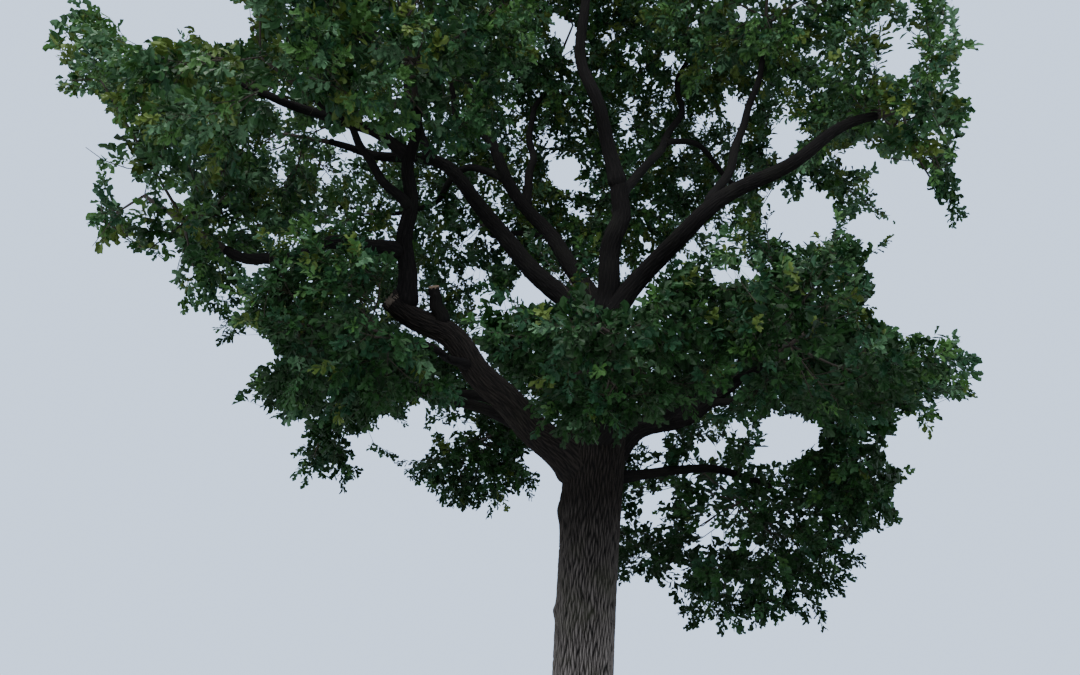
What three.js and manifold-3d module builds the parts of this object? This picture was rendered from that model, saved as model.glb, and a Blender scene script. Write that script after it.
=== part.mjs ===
// A broad-crowned oak in full summer leaf: one leaning trunk with a root flare, crooked tapering
// boughs, a broken bough end and a cut stub, and separate masses of leafy twigs round an open middle.
// Millimetres, +Z up. The origin is the middle of the flat cut at ground level. The tree is seen
// from -Y, with +X to the viewer's right. Tables are in metres and degrees.
import * as THREE from "three";
import { mergeVertices } from "three/addons/utils/BufferGeometryUtils.js";
import Module from "manifold-3d";

const wasm = await Module();
wasm.setup();

// CLEARANCE is the gap where two pieces meet. A faceted skin's flats lie nearer than its corners, so
// it is grown by SKIN_ALLOWANCE times as much.
const METRE = 1000;
const WELD = 1e-3;
const CLEARANCE = 0.0003;
const SKIN_ALLOWANCE = 1.5;
const UP = new THREE.Vector3(0, 0, 1);
const EAST = new THREE.Vector3(1, 0, 0);

// The trunk: breast-high girth, fork height, lean to the right, root flare and the burr on its left.
const TRUNK_RADIUS = 0.43;
const FORK_RADIUS = 0.47;
const FORK_HEIGHT = 5.2;
const FORK_SWELL = 4;
const TRUNK_LEAN = 0.34;
const TRUNK_BEND = 0.3;
const TRUNK_SIDES = 20;
const FLARE = { spread: 0.3, height: 0.42, buttresses: 5, ridge: 0.32, turn: 0.6 };
const BURR = { height: 4.42, bearing: Math.PI, rise: 0.055, reach: 0.2, spread: 0.45 };
const TRUNK_RINGS = [0, 0.12, 0.3, 0.55, 0.9, 1.4, 2.3, 3.3, 4.1, 4.42, 4.75, 5.2];

// How limbs are drawn: how hard a limb holds its first and last direction, how crooked it is, and
// how far its collar spreads where it leaves its parent.
const START_PULL = 0.38;
const END_PULL = 0.3;
const CROOK = 0.028;
const TAPER_POWER = 0.9;
const COLLAR = { spread: 0.3, length: 1.3 };
const STOUT = { radius: 0.14, sides: 6, steps: 6 };
const SLIGHT = { sides: 5, steps: 4 };

// Each limb: what it grows from and how far along it, its first direction as heading and rise,
// where it ends, and its radius at each end. Heading 0 is +X and 90 is away from the viewer.
const LIMBS = [
  ["leader", "trunk", 1, [25, 84], [0.55, 0.12, 7.5], [0.36, 0.27]],
  ["west_bough", "trunk", 0.9, [-157, 58], [-2.65, -1.25, 7.25], [0.26, 0.165]],
  ["west_stub", "west_bough", 0.78, [-110, 55], [-2.03, -1.4, 7.41], [0.1, 0.085]],
  ["west_riser", "west_bough", 0.93, [-115, 72], [-2.3, -2.35, 10.0], [0.15, 0.06]],
  ["west_arm", "west_riser", 0.25, [-167, 20], [-4.9, -2.0, 7.7], [0.12, 0.07]],
  ["west_tip_bough", "west_riser", 0.7, [-170, 35], [-5.3, -2.2, 10.5], [0.09, 0.05]],
  ["south_west_bough", "west_riser", 0.45, [-125, 30], [-3.5, -3.5, 9.2], [0.075, 0.04]],
  ["low_west_bough", "trunk", 0.97, [165, 50], [-3.1, 0.25, 6.35], [0.12, 0.05]],
  ["under_west_bough", "west_bough", 0.6, [-120, 5], [-2.2, -2.2, 6.2], [0.07, 0.04]],
  ["west_stem", "leader", 0.9, [165, 52], [-4.5, 1.5, 11.8], [0.19, 0.06]],
  ["top_west_stem", "west_stem", 0.66, [-170, 75], [-3.1, 0.3, 12.9], [0.08, 0.045]],
  ["north_west_stem", "leader", 0.95, [110, 66], [-2.35, 2.6, 14.0], [0.17, 0.05]],
  ["far_west_stem", "north_west_stem", 0.5, [150, 45], [-3.6, 3.6, 11.4], [0.08, 0.04]],
  ["north_spur", "north_west_stem", 0.42, [110, 80], [-0.4, 1.9, 13.2], [0.09, 0.045]],
  ["middle_stem", "leader", 0.97, [-50, 72], [0.82, -0.48, 9.65], [0.18, 0.145]],
  ["middle_west_stem", "middle_stem", 0.97, [-130, 60], [0.2, -1.6, 13.4], [0.13, 0.055]],
  ["middle_east_stem", "middle_stem", 0.9, [50, 55], [2.45, 1.3, 13.7], [0.085, 0.045]],
  ["east_stem", "leader", 0.93, [-30, 52], [4.55, -2.0, 9.95], [0.17, 0.065]],
  ["top_east_stem", "east_stem", 0.42, [-10, 70], [3.2, -1.2, 11.7], [0.08, 0.045]],
  ["low_east_bough", "trunk", 0.95, [26, 12], [3.1, 1.4, 4.95], [0.085, 0.045]],
  ["east_bough", "trunk", 0.92, [8, 58], [3.3, 0.3, 7.2], [0.2, 0.065]],
  ["far_east_bough", "east_bough", 0.55, [-5, 10], [4.2, 0.2, 6.15], [0.06, 0.035]],
  ["south_east_bough", "east_bough", 0.35, [-55, 30], [2.5, -2.3, 5.9], [0.1, 0.045]],
  ["south_bough", "trunk", 0.97, [-80, 45], [0.7, -2.1, 6.2], [0.14, 0.055]],
  ["north_bough", "leader", 0.45, [80, 45], [0.4, 3.7, 8.3], [0.15, 0.06]],
  ["north_top_stem", "north_bough", 0.55, [60, 70], [1.0, 3.5, 11.0], [0.085, 0.045]],
  ["north_east_bough", "east_bough", 0.3, [60, 35], [3.0, 3.0, 7.6], [0.12, 0.05]],
  ["far_east_stem", "middle_east_stem", 0.4, [30, 45], [3.7, 1.9, 11.1], [0.06, 0.04]],
  ["north_west_bough", "trunk", 0.98, [130, 45], [-2.9, 2.6, 7.4], [0.14, 0.05]],
  ["low_north_bough", "north_west_bough", 0.4, [100, 10], [-1.3, 2.5, 6.3], [0.06, 0.035]],
  ["inner_north_stem", "north_west_stem", 0.3, [100, 40], [-1.5, 3.1, 10.7], [0.065, 0.04]],
].map(([name, from, at, start, tip, radii]) => ({ name, from, at, start, tip, radii }));

// Each mass of foliage: the limb whose tip its stem meets, its middle, and how far it reaches
// sideways and up or down from there.
const MASSES = [
  ["west_leaves", "west_arm", [-6.3, -1.8, 8.7], 2.1, 1.7],
  ["west_tip_leaves", "west_tip_bough", [-6.5, -2.1, 11.0], 1.9, 1.5],
  ["west_riser_leaves", "west_riser", [-2.4, -3.1, 10.8], 1.8, 2.3],
  ["south_west_leaves", "south_west_bough", [-4.0, -4.2, 9.3], 1.8, 1.6],
  ["low_west_leaves", "low_west_bough", [-4.1, 0.4, 6.4], 1.8, 1.3],
  ["under_west_leaves", "under_west_bough", [-2.7, -2.8, 6.2], 1.6, 1.0],
  ["west_stem_leaves", "west_stem", [-5.5, 1.5, 12.0], 2.1, 1.8],
  ["top_west_leaves", "top_west_stem", [-3.3, 0.0, 14.3], 2.0, 1.7],
  ["north_west_top_leaves", "north_west_stem", [-2.4, 2.9, 15.2], 2.0, 1.6],
  ["far_west_leaves", "far_west_stem", [-4.4, 4.3, 11.8], 2.1, 2.0],
  ["north_spur_leaves", "north_spur", [0.2, 1.9, 14.9], 1.9, 2.2],
  ["crown_top_leaves", "middle_west_stem", [0.0, -1.6, 15.4], 2.0, 2.1],
  ["middle_east_leaves", "middle_east_stem", [2.5, 1.4, 14.7], 2.0, 2.0],
  ["east_tip_leaves", "east_stem", [5.6, -1.5, 10.5], 1.9, 1.9],
  ["top_east_leaves", "top_east_stem", [3.3, -1.6, 12.9], 2.0, 1.8],
  ["low_east_leaves", "low_east_bough", [2.6, 1.9, 4.8], 2.5, 1.8],
  ["far_east_leaves", "far_east_bough", [4.8, 0.1, 5.6], 1.5, 1.3],
  ["east_leaves", "east_bough", [3.9, 0.2, 8.0], 1.6, 1.3],
  ["south_east_leaves", "south_east_bough", [3.0, -2.8, 6.2], 1.9, 1.1],
  ["south_leaves", "south_bough", [0.3, -3.0, 6.1], 1.6, 1.1],
  ["north_leaves", "north_bough", [0.4, 4.8, 8.6], 2.2, 1.9],
  ["north_top_leaves", "north_top_stem", [1.2, 4.2, 12.6], 2.4, 2.1],
  ["north_east_leaves", "north_east_bough", [3.9, 3.8, 8.1], 2.0, 1.8],
  ["far_east_top_leaves", "far_east_stem", [4.7, 2.4, 11.8], 2.0, 1.9],
  ["north_west_leaves", "north_west_bough", [-3.6, 3.4, 8.2], 2.3, 1.7],
  ["low_north_leaves", "low_north_bough", [-1.6, 3.3, 6.4], 1.6, 1.0],
  ["inner_north_leaves", "inner_north_stem", [-1.9, 3.9, 11.5], 1.9, 2.3],
].map(([name, limb, middle, wide, tall]) => ({ name, limb, middle, wide, tall }));

// Openings where sky shows through the crown or beside it from the viewer's side. Each is where
// the line of sight from the eye crosses the upright plane through the trunk: X, Z, half width, half height.
const EYE = new THREE.Vector3(-0.48, -14, 1.6);
const SKY_GAPS = [
  [-0.64, 8, 0.32, 0.29], [-1.46, 8.29, 0.33, 0.14], [-0.99, 7.68, 0.16, 0.14],
  [-0.07, 10.13, 0.22, 0.26], [-0.01, 13.16, 0.24, 0.5], [1.82, 12.54, 0.36, 0.2],
  [3.23, 13.57, 0.22, 0.37], [2.95, 11.36, 0.19, 0.23], [1.88, 10.33, 0.34, 0.2],
  [3.84, 10.81, 0.14, 0.24], [5.6, 9.97, 0.51, 0.44], [4.95, 9.13, 0.33, 0.23],
  [3.92, 9.36, 0.7, 0.43], [5.63, 8.3, 0.85, 0.68], [6.1, 8.45, 0.98, 0.78],
  [2.7, 8.29, 0.33, 0.16], [3.39, 5.65, 0.43, 0.28], [2.73, 5.62, 0.23, 0.13],
  [3.18, 5.23, 0.27, 0.22], [2.02, 5.24, 0.24, 0.11], [1.27, 5.49, 0.18, 0.22],
  [1.25, 4.6, 0.27, 0.21], [1.99, 4.16, 0.15, 0.23], [0.97, 2.99, 0.51, 0.45],
  [6.25, 5.2, 0.91, 0.75], [5.05, 5.34, 0.27, 0.22], [5.19, 3.27, 0.57, 0.86],
  [6.08, 12.58, 0.32, 0.31], [6.48, 13.43, 0.18, 0.18], [-8.6, 9.82, 0.62, 0.72],
  [-8.41, 8.82, 0.66, 0.37], [-7.41, 9.82, 0.24, 0.12], [-7.69, 8, 1.46, 0.91],
  [-6.64, 9.76, 0.34, 0.14], [-6.85, 7.04, 1.19, 0.78], [-5.1, 6.92, 0.47, 0.45],
  [-5.5, 5.45, 0.6, 0.4], [-3.63, 10.91, 0.35, 0.14], [-4.9, 5.37, 0.76, 0.6],
  [-2.69, 5.54, 0.69, 0.28], [-1.84, 5.68, 0.37, 0.15], [-0.5, 5.18, 0.3, 0.18],
  [-8.5, 11.03, 0.8, 0.38], [-6.3, 13.32, 0.57, 0.44], [-7.37, 13.85, 1.07, 0.81],
  [-10.6, 9.9, 2.5, 2.3], [-11.4, 13, 2, 2.3], [-9.3, 11.3, 0.84, 0.46], [-8.5, 15.7, 2.1, 1.8],
  [-9.6, 19.6, 4.1, 4.1], [-7.8, 5.7, 2.3, 2.4], [7.47, 10.8, 0.52, 0.45], [10, 11.5, 2.8, 3],
  [10.3, 16.6, 3.4, 3.9], [8, 6.3, 1.7, 1.6], [7, 3.6, 1.7, 1.6], [9.5, 22, 3.5, 4.2],
  [-9.46, 13.96, 0.33, 0.33], [-9.58, 12.21, 0.48, 0.66], [-8.61, 11.3, 0.79, 0.38],
  [-5.67, 6.21, 0.39, 0.5], [-2.36, 5.94, 0.21, 0.23], [8.13, 13.43, 0.85, 1.04],
  [7.3, 12.32, 0.39, 0.49], [7.15, 10.25, 0.6, 0.77], [5.77, 9.51, 0.5, 0.29],
  [3.83, 8.95, 0.66, 0.15], [5.4, 7.73, 0.56, 0.43], [6.46, 7.39, 0.4, 0.49],
  [6.06, 5.89, 0.43, 0.3], [5.11, 5.73, 0.23, 0.23], [5.39, 4.57, 0.56, 0.54],
  [4.84, 3.84, 0.32, 0.37], [-8.3, 13.75, 0.3, 0.4], [5.05, 10.6, 0.3, 0.24],
];

// Stretches of limb that the viewer sees whole: no foliage hangs in front of them. Each is a limb,
// and how far along it the stretch begins and ends. SEEN_GAP is how wide a strip beside it is clear.
const SEEN_LIMBS = [
  ["west_bough", 0.42, 1], ["west_stub", 0, 1], ["west_riser", 0, 0.3], ["west_arm", 0.72, 1],
  ["west_tip_bough", 0.4, 0.75], ["west_stem", 0.14, 0.55], ["north_west_stem", 0.2, 0.5],
  ["north_spur", 0, 0.35], ["middle_stem", 0.18, 1], ["middle_west_stem", 0, 0.75],
  ["middle_east_stem", 0, 0.45], ["east_stem", 0.14, 0.75], ["low_east_bough", 0, 0.6],
];
const SEEN_GAP = 0.05;

// The twigs of a mass: how many are tried and kept, how much a long way back to the limb counts,
// how thick a single twig is, how much of its radius it keeps to its end, how much of its limb's
// radius the stem has, and how far out the twig ends begin. SPREAD spaces the ends evenly.
const TWIGS_PER_MASS = 7;
const TRIES_PER_MASS = 40;
const TWIG_BALANCE = 0.55;
const TWIG_RADIUS = 0.022;
const TWIG_TAPER = 0.7;
const STEM_SHARE = 0.85;
const SHELL = 0.45;
const SPREAD = [0.8191725134, 0.6710436067, 0.5497004779];
const FIRST_MASS_SEED = 101;

// The leaves: each blade stands for a whole spray. Its sizes are those in a mass of typical reach.
// Each twig has one at its end and others at its sides, tried again smaller where one doesn't fit.
// SIDE_LEAN is how far a side leaf leans along its twig, and END_SINK how deep an end leaf's root
// lies, as a share of the twig's radius.
const LEAF = { length: 1.2, width: 1.0, thickness: 0.06, widest: 0.52, typicalMass: 3.7 };
const LEAF_PLACES = [
  { share: 1, side: 0, size: 1 },
  { share: 0.74, side: 1, size: 0.92 },
  { share: 0.48, side: -1, size: 0.84 },
];
const SIDE_LEAN = 0.6;
const END_SINK = 0.5;
const LEAF_SWAY = 1.0;
const FACE_OUT = 1.5;
const LEAF_TRIES = 4;
const LEAF_SHRINK = 0.85;

// How far foliage keeps from the walls of its mass's space and from wood.
const CELL_GAP = 0.02;
const LIMB_GAP = 0.05;
const WOOD_STEP = 0.15;

const BARK = new THREE.MeshStandardMaterial({ color: 0x40362f, roughness: 0.95, metalness: 0 });
const BROKEN_WOOD = new THREE.MeshStandardMaterial({ color: 0x5a4a3c, roughness: 0.9, metalness: 0 });
const FOLIAGE = new THREE.MeshStandardMaterial({ color: 0x2f4a2a, roughness: 0.75, metalness: 0 });

const vector = (row) => new THREE.Vector3(...row);
const fraction = (value) => value - Math.floor(value);

// A repeatable number from 0 to 1 for a seed and a counter.
const chance = (seed, count) => fraction(Math.sin(seed * 12.9898 + count * 78.233) * 43758.5453);

// A unit vector from a heading and a rise in degrees.
function direction([heading, rise]) {
  const h = THREE.MathUtils.degToRad(heading);
  const r = THREE.MathUtils.degToRad(rise);
  return new THREE.Vector3(Math.cos(r) * Math.cos(h), Math.cos(r) * Math.sin(h), Math.sin(r));
}

// The middle line of the trunk: upright at the ground, leaning more as it rises.
function trunkAxis(height) {
  const share = height / FORK_HEIGHT;
  return new THREE.Vector3(TRUNK_LEAN * share * (1 - TRUNK_BEND + TRUNK_BEND * share), 0, height);
}

// The trunk's radius at a height and bearing: a slight waist, buttressed root flare, and a burr.
function trunkRadius(height, bearing) {
  const share = height / FORK_HEIGHT;
  const stem = TRUNK_RADIUS + (FORK_RADIUS - TRUNK_RADIUS) * Math.pow(share, FORK_SWELL);
  const flare = FLARE.spread * Math.exp(-height / FLARE.height);
  const ridges = 1 + FLARE.ridge * Math.cos(FLARE.buttresses * bearing + FLARE.turn);
  const turn = Math.cos(bearing - BURR.bearing) - 1;
  const up = (height - BURR.height) / BURR.reach;
  const burr = BURR.rise * Math.exp(turn / (BURR.spread * BURR.spread) - up * up);
  return stem + flare * ridges + burr;
}

// A limb's middle line at share s: a cubic from its root to its tip, with a seeded crookedness.
class Limb {
  constructor(row, parent, seed) {
    this.name = row.name;
    this.root = parent.pointAt(row.at);
    this.parentRadius = parent.radiusAt(row.at);
    this.tip = vector(row.tip);
    this.radii = row.radii;
    this.seed = seed;
    const span = this.tip.clone().sub(this.root);
    this.span = span.length();
    this.side = new THREE.Vector3(-span.y, span.x, 0).normalize();
    this.lift = span.clone().normalize().cross(this.side).negate();
    const last = row.mass ? vector(row.mass.middle).sub(this.tip).normalize() : span.normalize();
    this.hold = this.root.clone().addScaledVector(direction(row.start), this.span * START_PULL);
    this.reach = this.tip.clone().addScaledVector(last, -this.span * END_PULL);
    this.curve = new THREE.CubicBezierCurve3(this.root, this.hold, this.reach, this.tip);
  }
  wander(s, channel) {
    let sum = 0;
    for (let wave = 1; wave <= 3; wave += 1) {
      const phase = chance(this.seed, channel * 3 + wave);
      sum += Math.sin(2 * Math.PI * (wave * s + phase)) / wave;
    }
    return sum * 4 * s * (1 - s) * CROOK * this.span;
  }
  pointAt(s) {
    return this.curve
      .getPoint(s)
      .addScaledVector(this.side, this.wander(s, 1))
      .addScaledVector(this.lift, this.wander(s, 2));
  }
  directionAt(s) {
    const step = 0.01;
    return this.pointAt(Math.min(1, s + step)).sub(this.pointAt(Math.max(0, s - step))).normalize();
  }
  radiusAt(s) {
    const [base, tip] = this.radii;
    const past = Math.max(0, s * this.span - this.parentRadius);
    const collar = COLLAR.spread * Math.exp(-past / (COLLAR.length * base));
    return tip + (base - tip) * Math.pow(1 - s, TAPER_POWER) + base * collar;
  }
}

// A closed cylinder whose every vertex is carried to where place(share, bearing, outward) says.
function bentCylinder(sides, steps, place) {
  const geometry = new THREE.CylinderGeometry(1, 1, 1, sides, steps);
  const at = geometry.getAttribute("position");
  for (let i = 0; i < at.count; i += 1) {
    const share = Math.round((at.getY(i) + 0.5) * steps) / steps;
    const outward = Math.hypot(at.getX(i), at.getZ(i)) > 0.5 ? 1 : 0;
    const turn = (Math.atan2(at.getX(i), at.getZ(i)) * sides) / (2 * Math.PI);
    const bearing = ((Math.round(turn) + sides) % sides) * ((2 * Math.PI) / sides);
    const p = place(share, bearing, outward).multiplyScalar(METRE);
    at.setXYZ(i, p.x, p.y, p.z);
  }
  return geometry;
}

// A manifold solid from a closed geometry.
function solidOf(geometry) {
  geometry.deleteAttribute("normal");
  geometry.deleteAttribute("uv");
  const merged = mergeVertices(geometry, WELD);
  return new wasm.Manifold(
    new wasm.Mesh({
      numProp: 3,
      vertProperties: merged.getAttribute("position").array,
      triVerts: new Uint32Array(merged.index.array),
    }),
  );
}

// The trunk's solid, grown by an extra skin where another piece is to be cut clear of it.
function trunkSolid(skin) {
  const last = TRUNK_RINGS.length - 1;
  return solidOf(
    bentCylinder(TRUNK_SIDES, last, (share, bearing, outward) => {
      const height = TRUNK_RINGS[Math.round(share * last)];
      const radius = (trunkRadius(height, bearing) + SKIN_ALLOWANCE * skin) * outward;
      const p = trunkAxis(height + (share === 1 ? skin : 0));
      return p.add(new THREE.Vector3(radius * Math.cos(bearing), radius * Math.sin(bearing), 0));
    }),
  );
}

// A limb's solid, grown by an extra skin in the same way.
function limbSolid(limb, skin) {
  const { sides, steps } = limb.radii[0] < STOUT.radius ? SLIGHT : STOUT;
  return solidOf(
    bentCylinder(sides, steps, (s, bearing, outward) => {
      const along = limb.directionAt(s);
      const across = limb.side.clone().addScaledVector(along, -limb.side.dot(along)).normalize();
      const upward = along.clone().cross(across);
      const radius = (limb.radiusAt(s) + SKIN_ALLOWANCE * skin) * outward;
      const end = s === 1 ? skin : s === 0 ? -skin : 0;
      return limb
        .pointAt(s)
        .addScaledVector(along, end)
        .addScaledVector(across, radius * Math.cos(bearing))
        .addScaledVector(upward, radius * Math.sin(bearing));
    }),
  );
}

// The largest single body of a solid.
function largestBody(solid) {
  return solid.decompose().reduce((a, b) => (b.volume() > a.volume() ? b : a));
}

// A named mesh from a manifold solid.
function meshOf(name, solid, material) {
  const made = solid.getMesh();
  const geometry = new THREE.BufferGeometry();
  geometry.setAttribute("position", new THREE.BufferAttribute(made.vertProperties, 3));
  geometry.setIndex(new THREE.BufferAttribute(made.triVerts, 1));
  const mesh = new THREE.Mesh(geometry.toNonIndexed(), material);
  mesh.geometry.computeVertexNormals();
  mesh.name = name;
  return mesh;
}

// Whether a point keeps to a mass's own space: nearer its middle than its neighbours', by size.
function inOwnSpace(point, mass) {
  const size = mass.wide + mass.tall;
  return MASSES.every((other) => {
    if (other === mass) return true;
    const between = vector(other.middle).sub(vector(mass.middle));
    const apart = between.length();
    const wall = (apart * size) / (size + other.wide + other.tall);
    return point.clone().sub(vector(mass.middle)).dot(between) / apart < wall - CELL_GAP;
  });
}

// Whether a point lies in one of the openings where the sky shows.
function inSkyGap(point) {
  const share = -EYE.y / (point.y - EYE.y);
  const x = EYE.x + (point.x - EYE.x) * share;
  const z = EYE.z + (point.z - EYE.z) * share;
  return SKY_GAPS.some(([gx, gz, w, h]) => ((x - gx) / w) ** 2 + ((z - gz) / h) ** 2 < 1);
}

// Whether a point lies in front of a stretch of limb that the viewer sees.
function hidesLimb(point, seen) {
  const sight = point.clone().sub(EYE);
  const far = sight.length();
  sight.divideScalar(far);
  return seen.some(({ point: at, radius }) => {
    const reach = at.clone().sub(EYE);
    const along = reach.dot(sight);
    return along > far && reach.addScaledVector(sight, -along).length() < radius + SEEN_GAP;
  });
}

// Whether a straight piece of a given half thickness would touch any wood.
function touchesWood(from, to, thickness, wood) {
  const line = new THREE.Line3(from, to);
  const near = new THREE.Vector3();
  return wood.some(({ point, radius }) => {
    line.closestPointToPoint(point, true, near);
    return near.distanceTo(point) < radius + thickness + LIMB_GAP;
  });
}

// Seeded places for twig ends, spread evenly through the mass and denser towards its outside.
function twigEnd(mass, seed, count) {
  const [u, v, w] = SPREAD.map((step, axis) => fraction(chance(seed, axis) + count * step));
  const turn = 2 * Math.PI * u;
  const height = 2 * v - 1;
  const level = Math.sqrt(1 - height * height);
  const reach = Math.cbrt(SHELL ** 3 + (1 - SHELL ** 3) * w);
  return new THREE.Vector3(
    mass.middle[0] + mass.wide * reach * level * Math.cos(turn),
    mass.middle[1] + mass.wide * reach * level * Math.sin(turn),
    mass.middle[2] + mass.tall * reach * height,
  );
}

// A solid with an octahedron's eight faces drawn between six corners: one pair for each axis.
function sixCornered(pairs) {
  const geometry = new THREE.OctahedronGeometry(1, 0);
  const at = geometry.getAttribute("position");
  for (let i = 0; i < at.count; i += 1) {
    const place = [at.getX(i), at.getY(i), at.getZ(i)];
    const axis = place.findIndex((value) => Math.abs(value) > 0.5);
    const [plus, minus] = pairs[axis];
    const p = (place[axis] > 0 ? plus : minus).clone().multiplyScalar(METRE);
    at.setXYZ(i, p.x, p.y, p.z);
  }
  return solidOf(geometry);
}

// A straight three-sided twig: a triangle at each end, the far one smaller and turned half a side.
// Both lie square to the way that the twig sets out.
function twigSolid(from, to, thick, setOut) {
  const across = setOut.clone().cross(Math.abs(setOut.z) > 0.9 ? EAST : UP).normalize();
  const upward = setOut.clone().cross(across);
  const corner = (middle, radius, turn) =>
    middle
      .clone()
      .addScaledVector(across, radius * Math.cos((turn * Math.PI) / 3))
      .addScaledVector(upward, radius * Math.sin((turn * Math.PI) / 3));
  const far = thick * TWIG_TAPER;
  return sixCornered([
    [corner(to, far, 0), corner(from, thick, 3)],
    [corner(to, far, 2), corner(from, thick, 5)],
    [corner(to, far, 4), corner(from, thick, 1)],
  ]);
}

// The corners of a leaf blade that springs from a point and faces roughly a given way.
function leafCorners(root, along, facing, size) {
  const across = facing.clone().cross(along).normalize();
  const face = along.clone().cross(across);
  const waist = root.clone().addScaledVector(along, LEAF.widest * LEAF.length * size);
  const half = 0.5 * LEAF.width * size;
  const deep = 0.5 * LEAF.thickness * size;
  return {
    root,
    tip: root.clone().addScaledVector(along, LEAF.length * size),
    right: waist.clone().addScaledVector(across, half),
    left: waist.clone().addScaledVector(across, -half),
    face: waist.clone().addScaledVector(face, deep),
    back: waist.clone().addScaledVector(face, -deep),
  };
}

// One mass of foliage as it grows: its stem from the limb's tip, its twigs and its leaves.
class Foliage {
  constructor(mass, limb, seed, wood) {
    this.mass = mass;
    this.seen = wood.filter((at) => at.seen);
    this.middle = vector(mass.middle);
    this.seed = seed;
    this.leafScale = (mass.wide + mass.tall) / LEAF.typicalMass;
    this.setOut = limb.directionAt(1);
    this.foot = limb.pointAt(1).addScaledVector(this.setOut, CLEARANCE);
    this.stemRadius = limb.radiusAt(1) * STEM_SHARE;
    this.wood = wood;
    this.nodes = [{ point: this.foot, way: 0, twig: null }];
    this.twigs = [];
    this.growTwigs();
    this.pieces = this.twigs.map((twig) => this.twigPiece(twig));
    this.twigs.forEach((twig, index) => index && this.growLeaves(twig, index));
  }

  // Whether foliage at a point would hide an opening or a stretch of limb that is seen.
  blocksView(point) {
    return inSkyGap(point) || hidesLimb(point, this.seen);
  }

  // A twig from a node to a new end. Its end and its half-way point become nodes.
  join(node, to) {
    const long = to.distanceTo(node.point);
    const along = to.clone().sub(node.point).normalize();
    const twig = { from: node.point, to, along, parent: node.twig, carries: 0 };
    this.nodes.push({ point: node.point.clone().lerp(to, 0.5), way: node.way + long / 2, twig });
    this.nodes.push({ point: to, way: node.way + long, twig });
    this.twigs.push(twig);
    for (let below = twig; below; below = below.parent) below.carries += 1;
  }

  // The stem runs to the middle. Each further end is joined to the node that makes the shortest way
  // back to the limb, and left out where it would leave the mass's space or touch wood.
  growTwigs() {
    this.join(this.nodes[0], this.middle);
    for (let count = 1; count <= TRIES_PER_MASS && this.twigs.length <= TWIGS_PER_MASS; count += 1) {
      const end = twigEnd(this.mass, this.seed, count);
      if (!inOwnSpace(end, this.mass) || this.blocksView(end)) continue;
      const cost = ({ point, way }) => point.distanceTo(end) + TWIG_BALANCE * way;
      const node = this.nodes.slice(1).reduce((a, b) => (cost(b) < cost(a) ? b : a));
      if (!touchesWood(node.point, end, TWIG_RADIUS, this.wood)) this.join(node, end);
    }
  }

  // A twig's solid, as thick as what it carries asks for, with its root sunk into its parent.
  twigPiece(twig) {
    const thick = Math.min(TWIG_RADIUS * Math.sqrt(twig.carries), this.stemRadius);
    twig.thick = thick;
    if (!twig.parent) return twigSolid(twig.from, twig.to, thick, this.setOut);
    const root = twig.from.clone().addScaledVector(twig.parent.along, -thick);
    return twigSolid(root, twig.to, thick, twig.along);
  }

  // The leaves of a twig. Every second twig has all its places filled and the others lack the last.
  growLeaves(twig, index) {
    const outward = twig.to.clone().sub(this.middle).normalize().add(twig.along).normalize();
    const across = twig.along.clone().cross(UP).normalize().multiplyScalar(index % 2 ? 1 : -1);
    LEAF_PLACES.slice(0, LEAF_PLACES.length - 1 + (index % 2)).forEach(({ share, side, size }, place) => {
      const aside = across.clone().multiplyScalar(side).addScaledVector(twig.along, SIDE_LEAN).normalize();
      for (let turn = 0; turn < LEAF_TRIES; turn += 1) {
        const long = this.leafScale * size * LEAF_SHRINK ** turn;
        const count = index * LEAF_PLACES.length * LEAF_TRIES + place * LEAF_TRIES + turn;
        if (this.addLeaf(twig, index, share, side ? aside : outward, long, count)) break;
      }
    });
  }

  // Adds one leaf, unless it would leave the mass's space, touch a limb, hide an opening or a limb
  // that is seen, or cross another leaf or twig.
  addLeaf(twig, own, share, along, size, count) {
    const root = twig.from.clone().lerp(twig.to, share);
    if (share === 1) root.addScaledVector(twig.along, -END_SINK * twig.thick);
    const sway = [0, 1, 2].map((axis) => LEAF_SWAY * (chance(this.seed, count + 0.3 * axis) - 0.5));
    const outward = root.clone().sub(this.middle).normalize();
    const facing = outward.multiplyScalar(FACE_OUT).add(UP).add(vector(sway));
    const corners = leafCorners(root, along, facing, size);
    if (!Object.values(corners).every((corner) => inOwnSpace(corner, this.mass))) return false;
    if ([corners.right, corners.left, corners.tip, corners.face].some((at) => this.blocksView(at))) return false;
    if (touchesWood(corners.root, corners.tip, 0.5 * LEAF.width * size, this.wood)) return false;
    const { tip, right, left, face, back } = corners;
    const leaf = sixCornered([[tip, root], [right, left], [face, back]]);
    if (this.pieces.some((piece, index) => index !== own && !leaf.intersect(piece).isEmpty())) return false;
    this.pieces.push(leaf);
    return true;
  }

  solid() {
    return largestBody(wasm.Manifold.union(this.pieces));
  }
}

// Points down the middle of every limb with the radius there, to keep foliage off the wood, and
// whether the viewer sees the limb there.
function woodPoints(limbs) {
  const points = [];
  for (const limb of limbs) {
    const steps = Math.ceil(limb.span / WOOD_STEP);
    for (let i = 0; i <= steps; i += 1) {
      const share = i / steps;
      const seen = SEEN_LIMBS.some(([name, from, to]) => name === limb.name && share >= from && share <= to);
      points.push({ point: limb.pointAt(share), radius: limb.radiusAt(share), seen });
    }
  }
  for (let height = 0; height <= FORK_HEIGHT; height += WOOD_STEP) {
    points.push({ point: trunkAxis(height), radius: trunkRadius(height, 0), seen: false });
  }
  return points;
}

const tree = new THREE.Group();
const trunk = {
  pointAt: (share) => trunkAxis(share * FORK_HEIGHT),
  radiusAt: (share) => trunkRadius(share * FORK_HEIGHT, 0),
};
tree.add(meshOf("trunk", trunkSolid(0), BARK));

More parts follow.
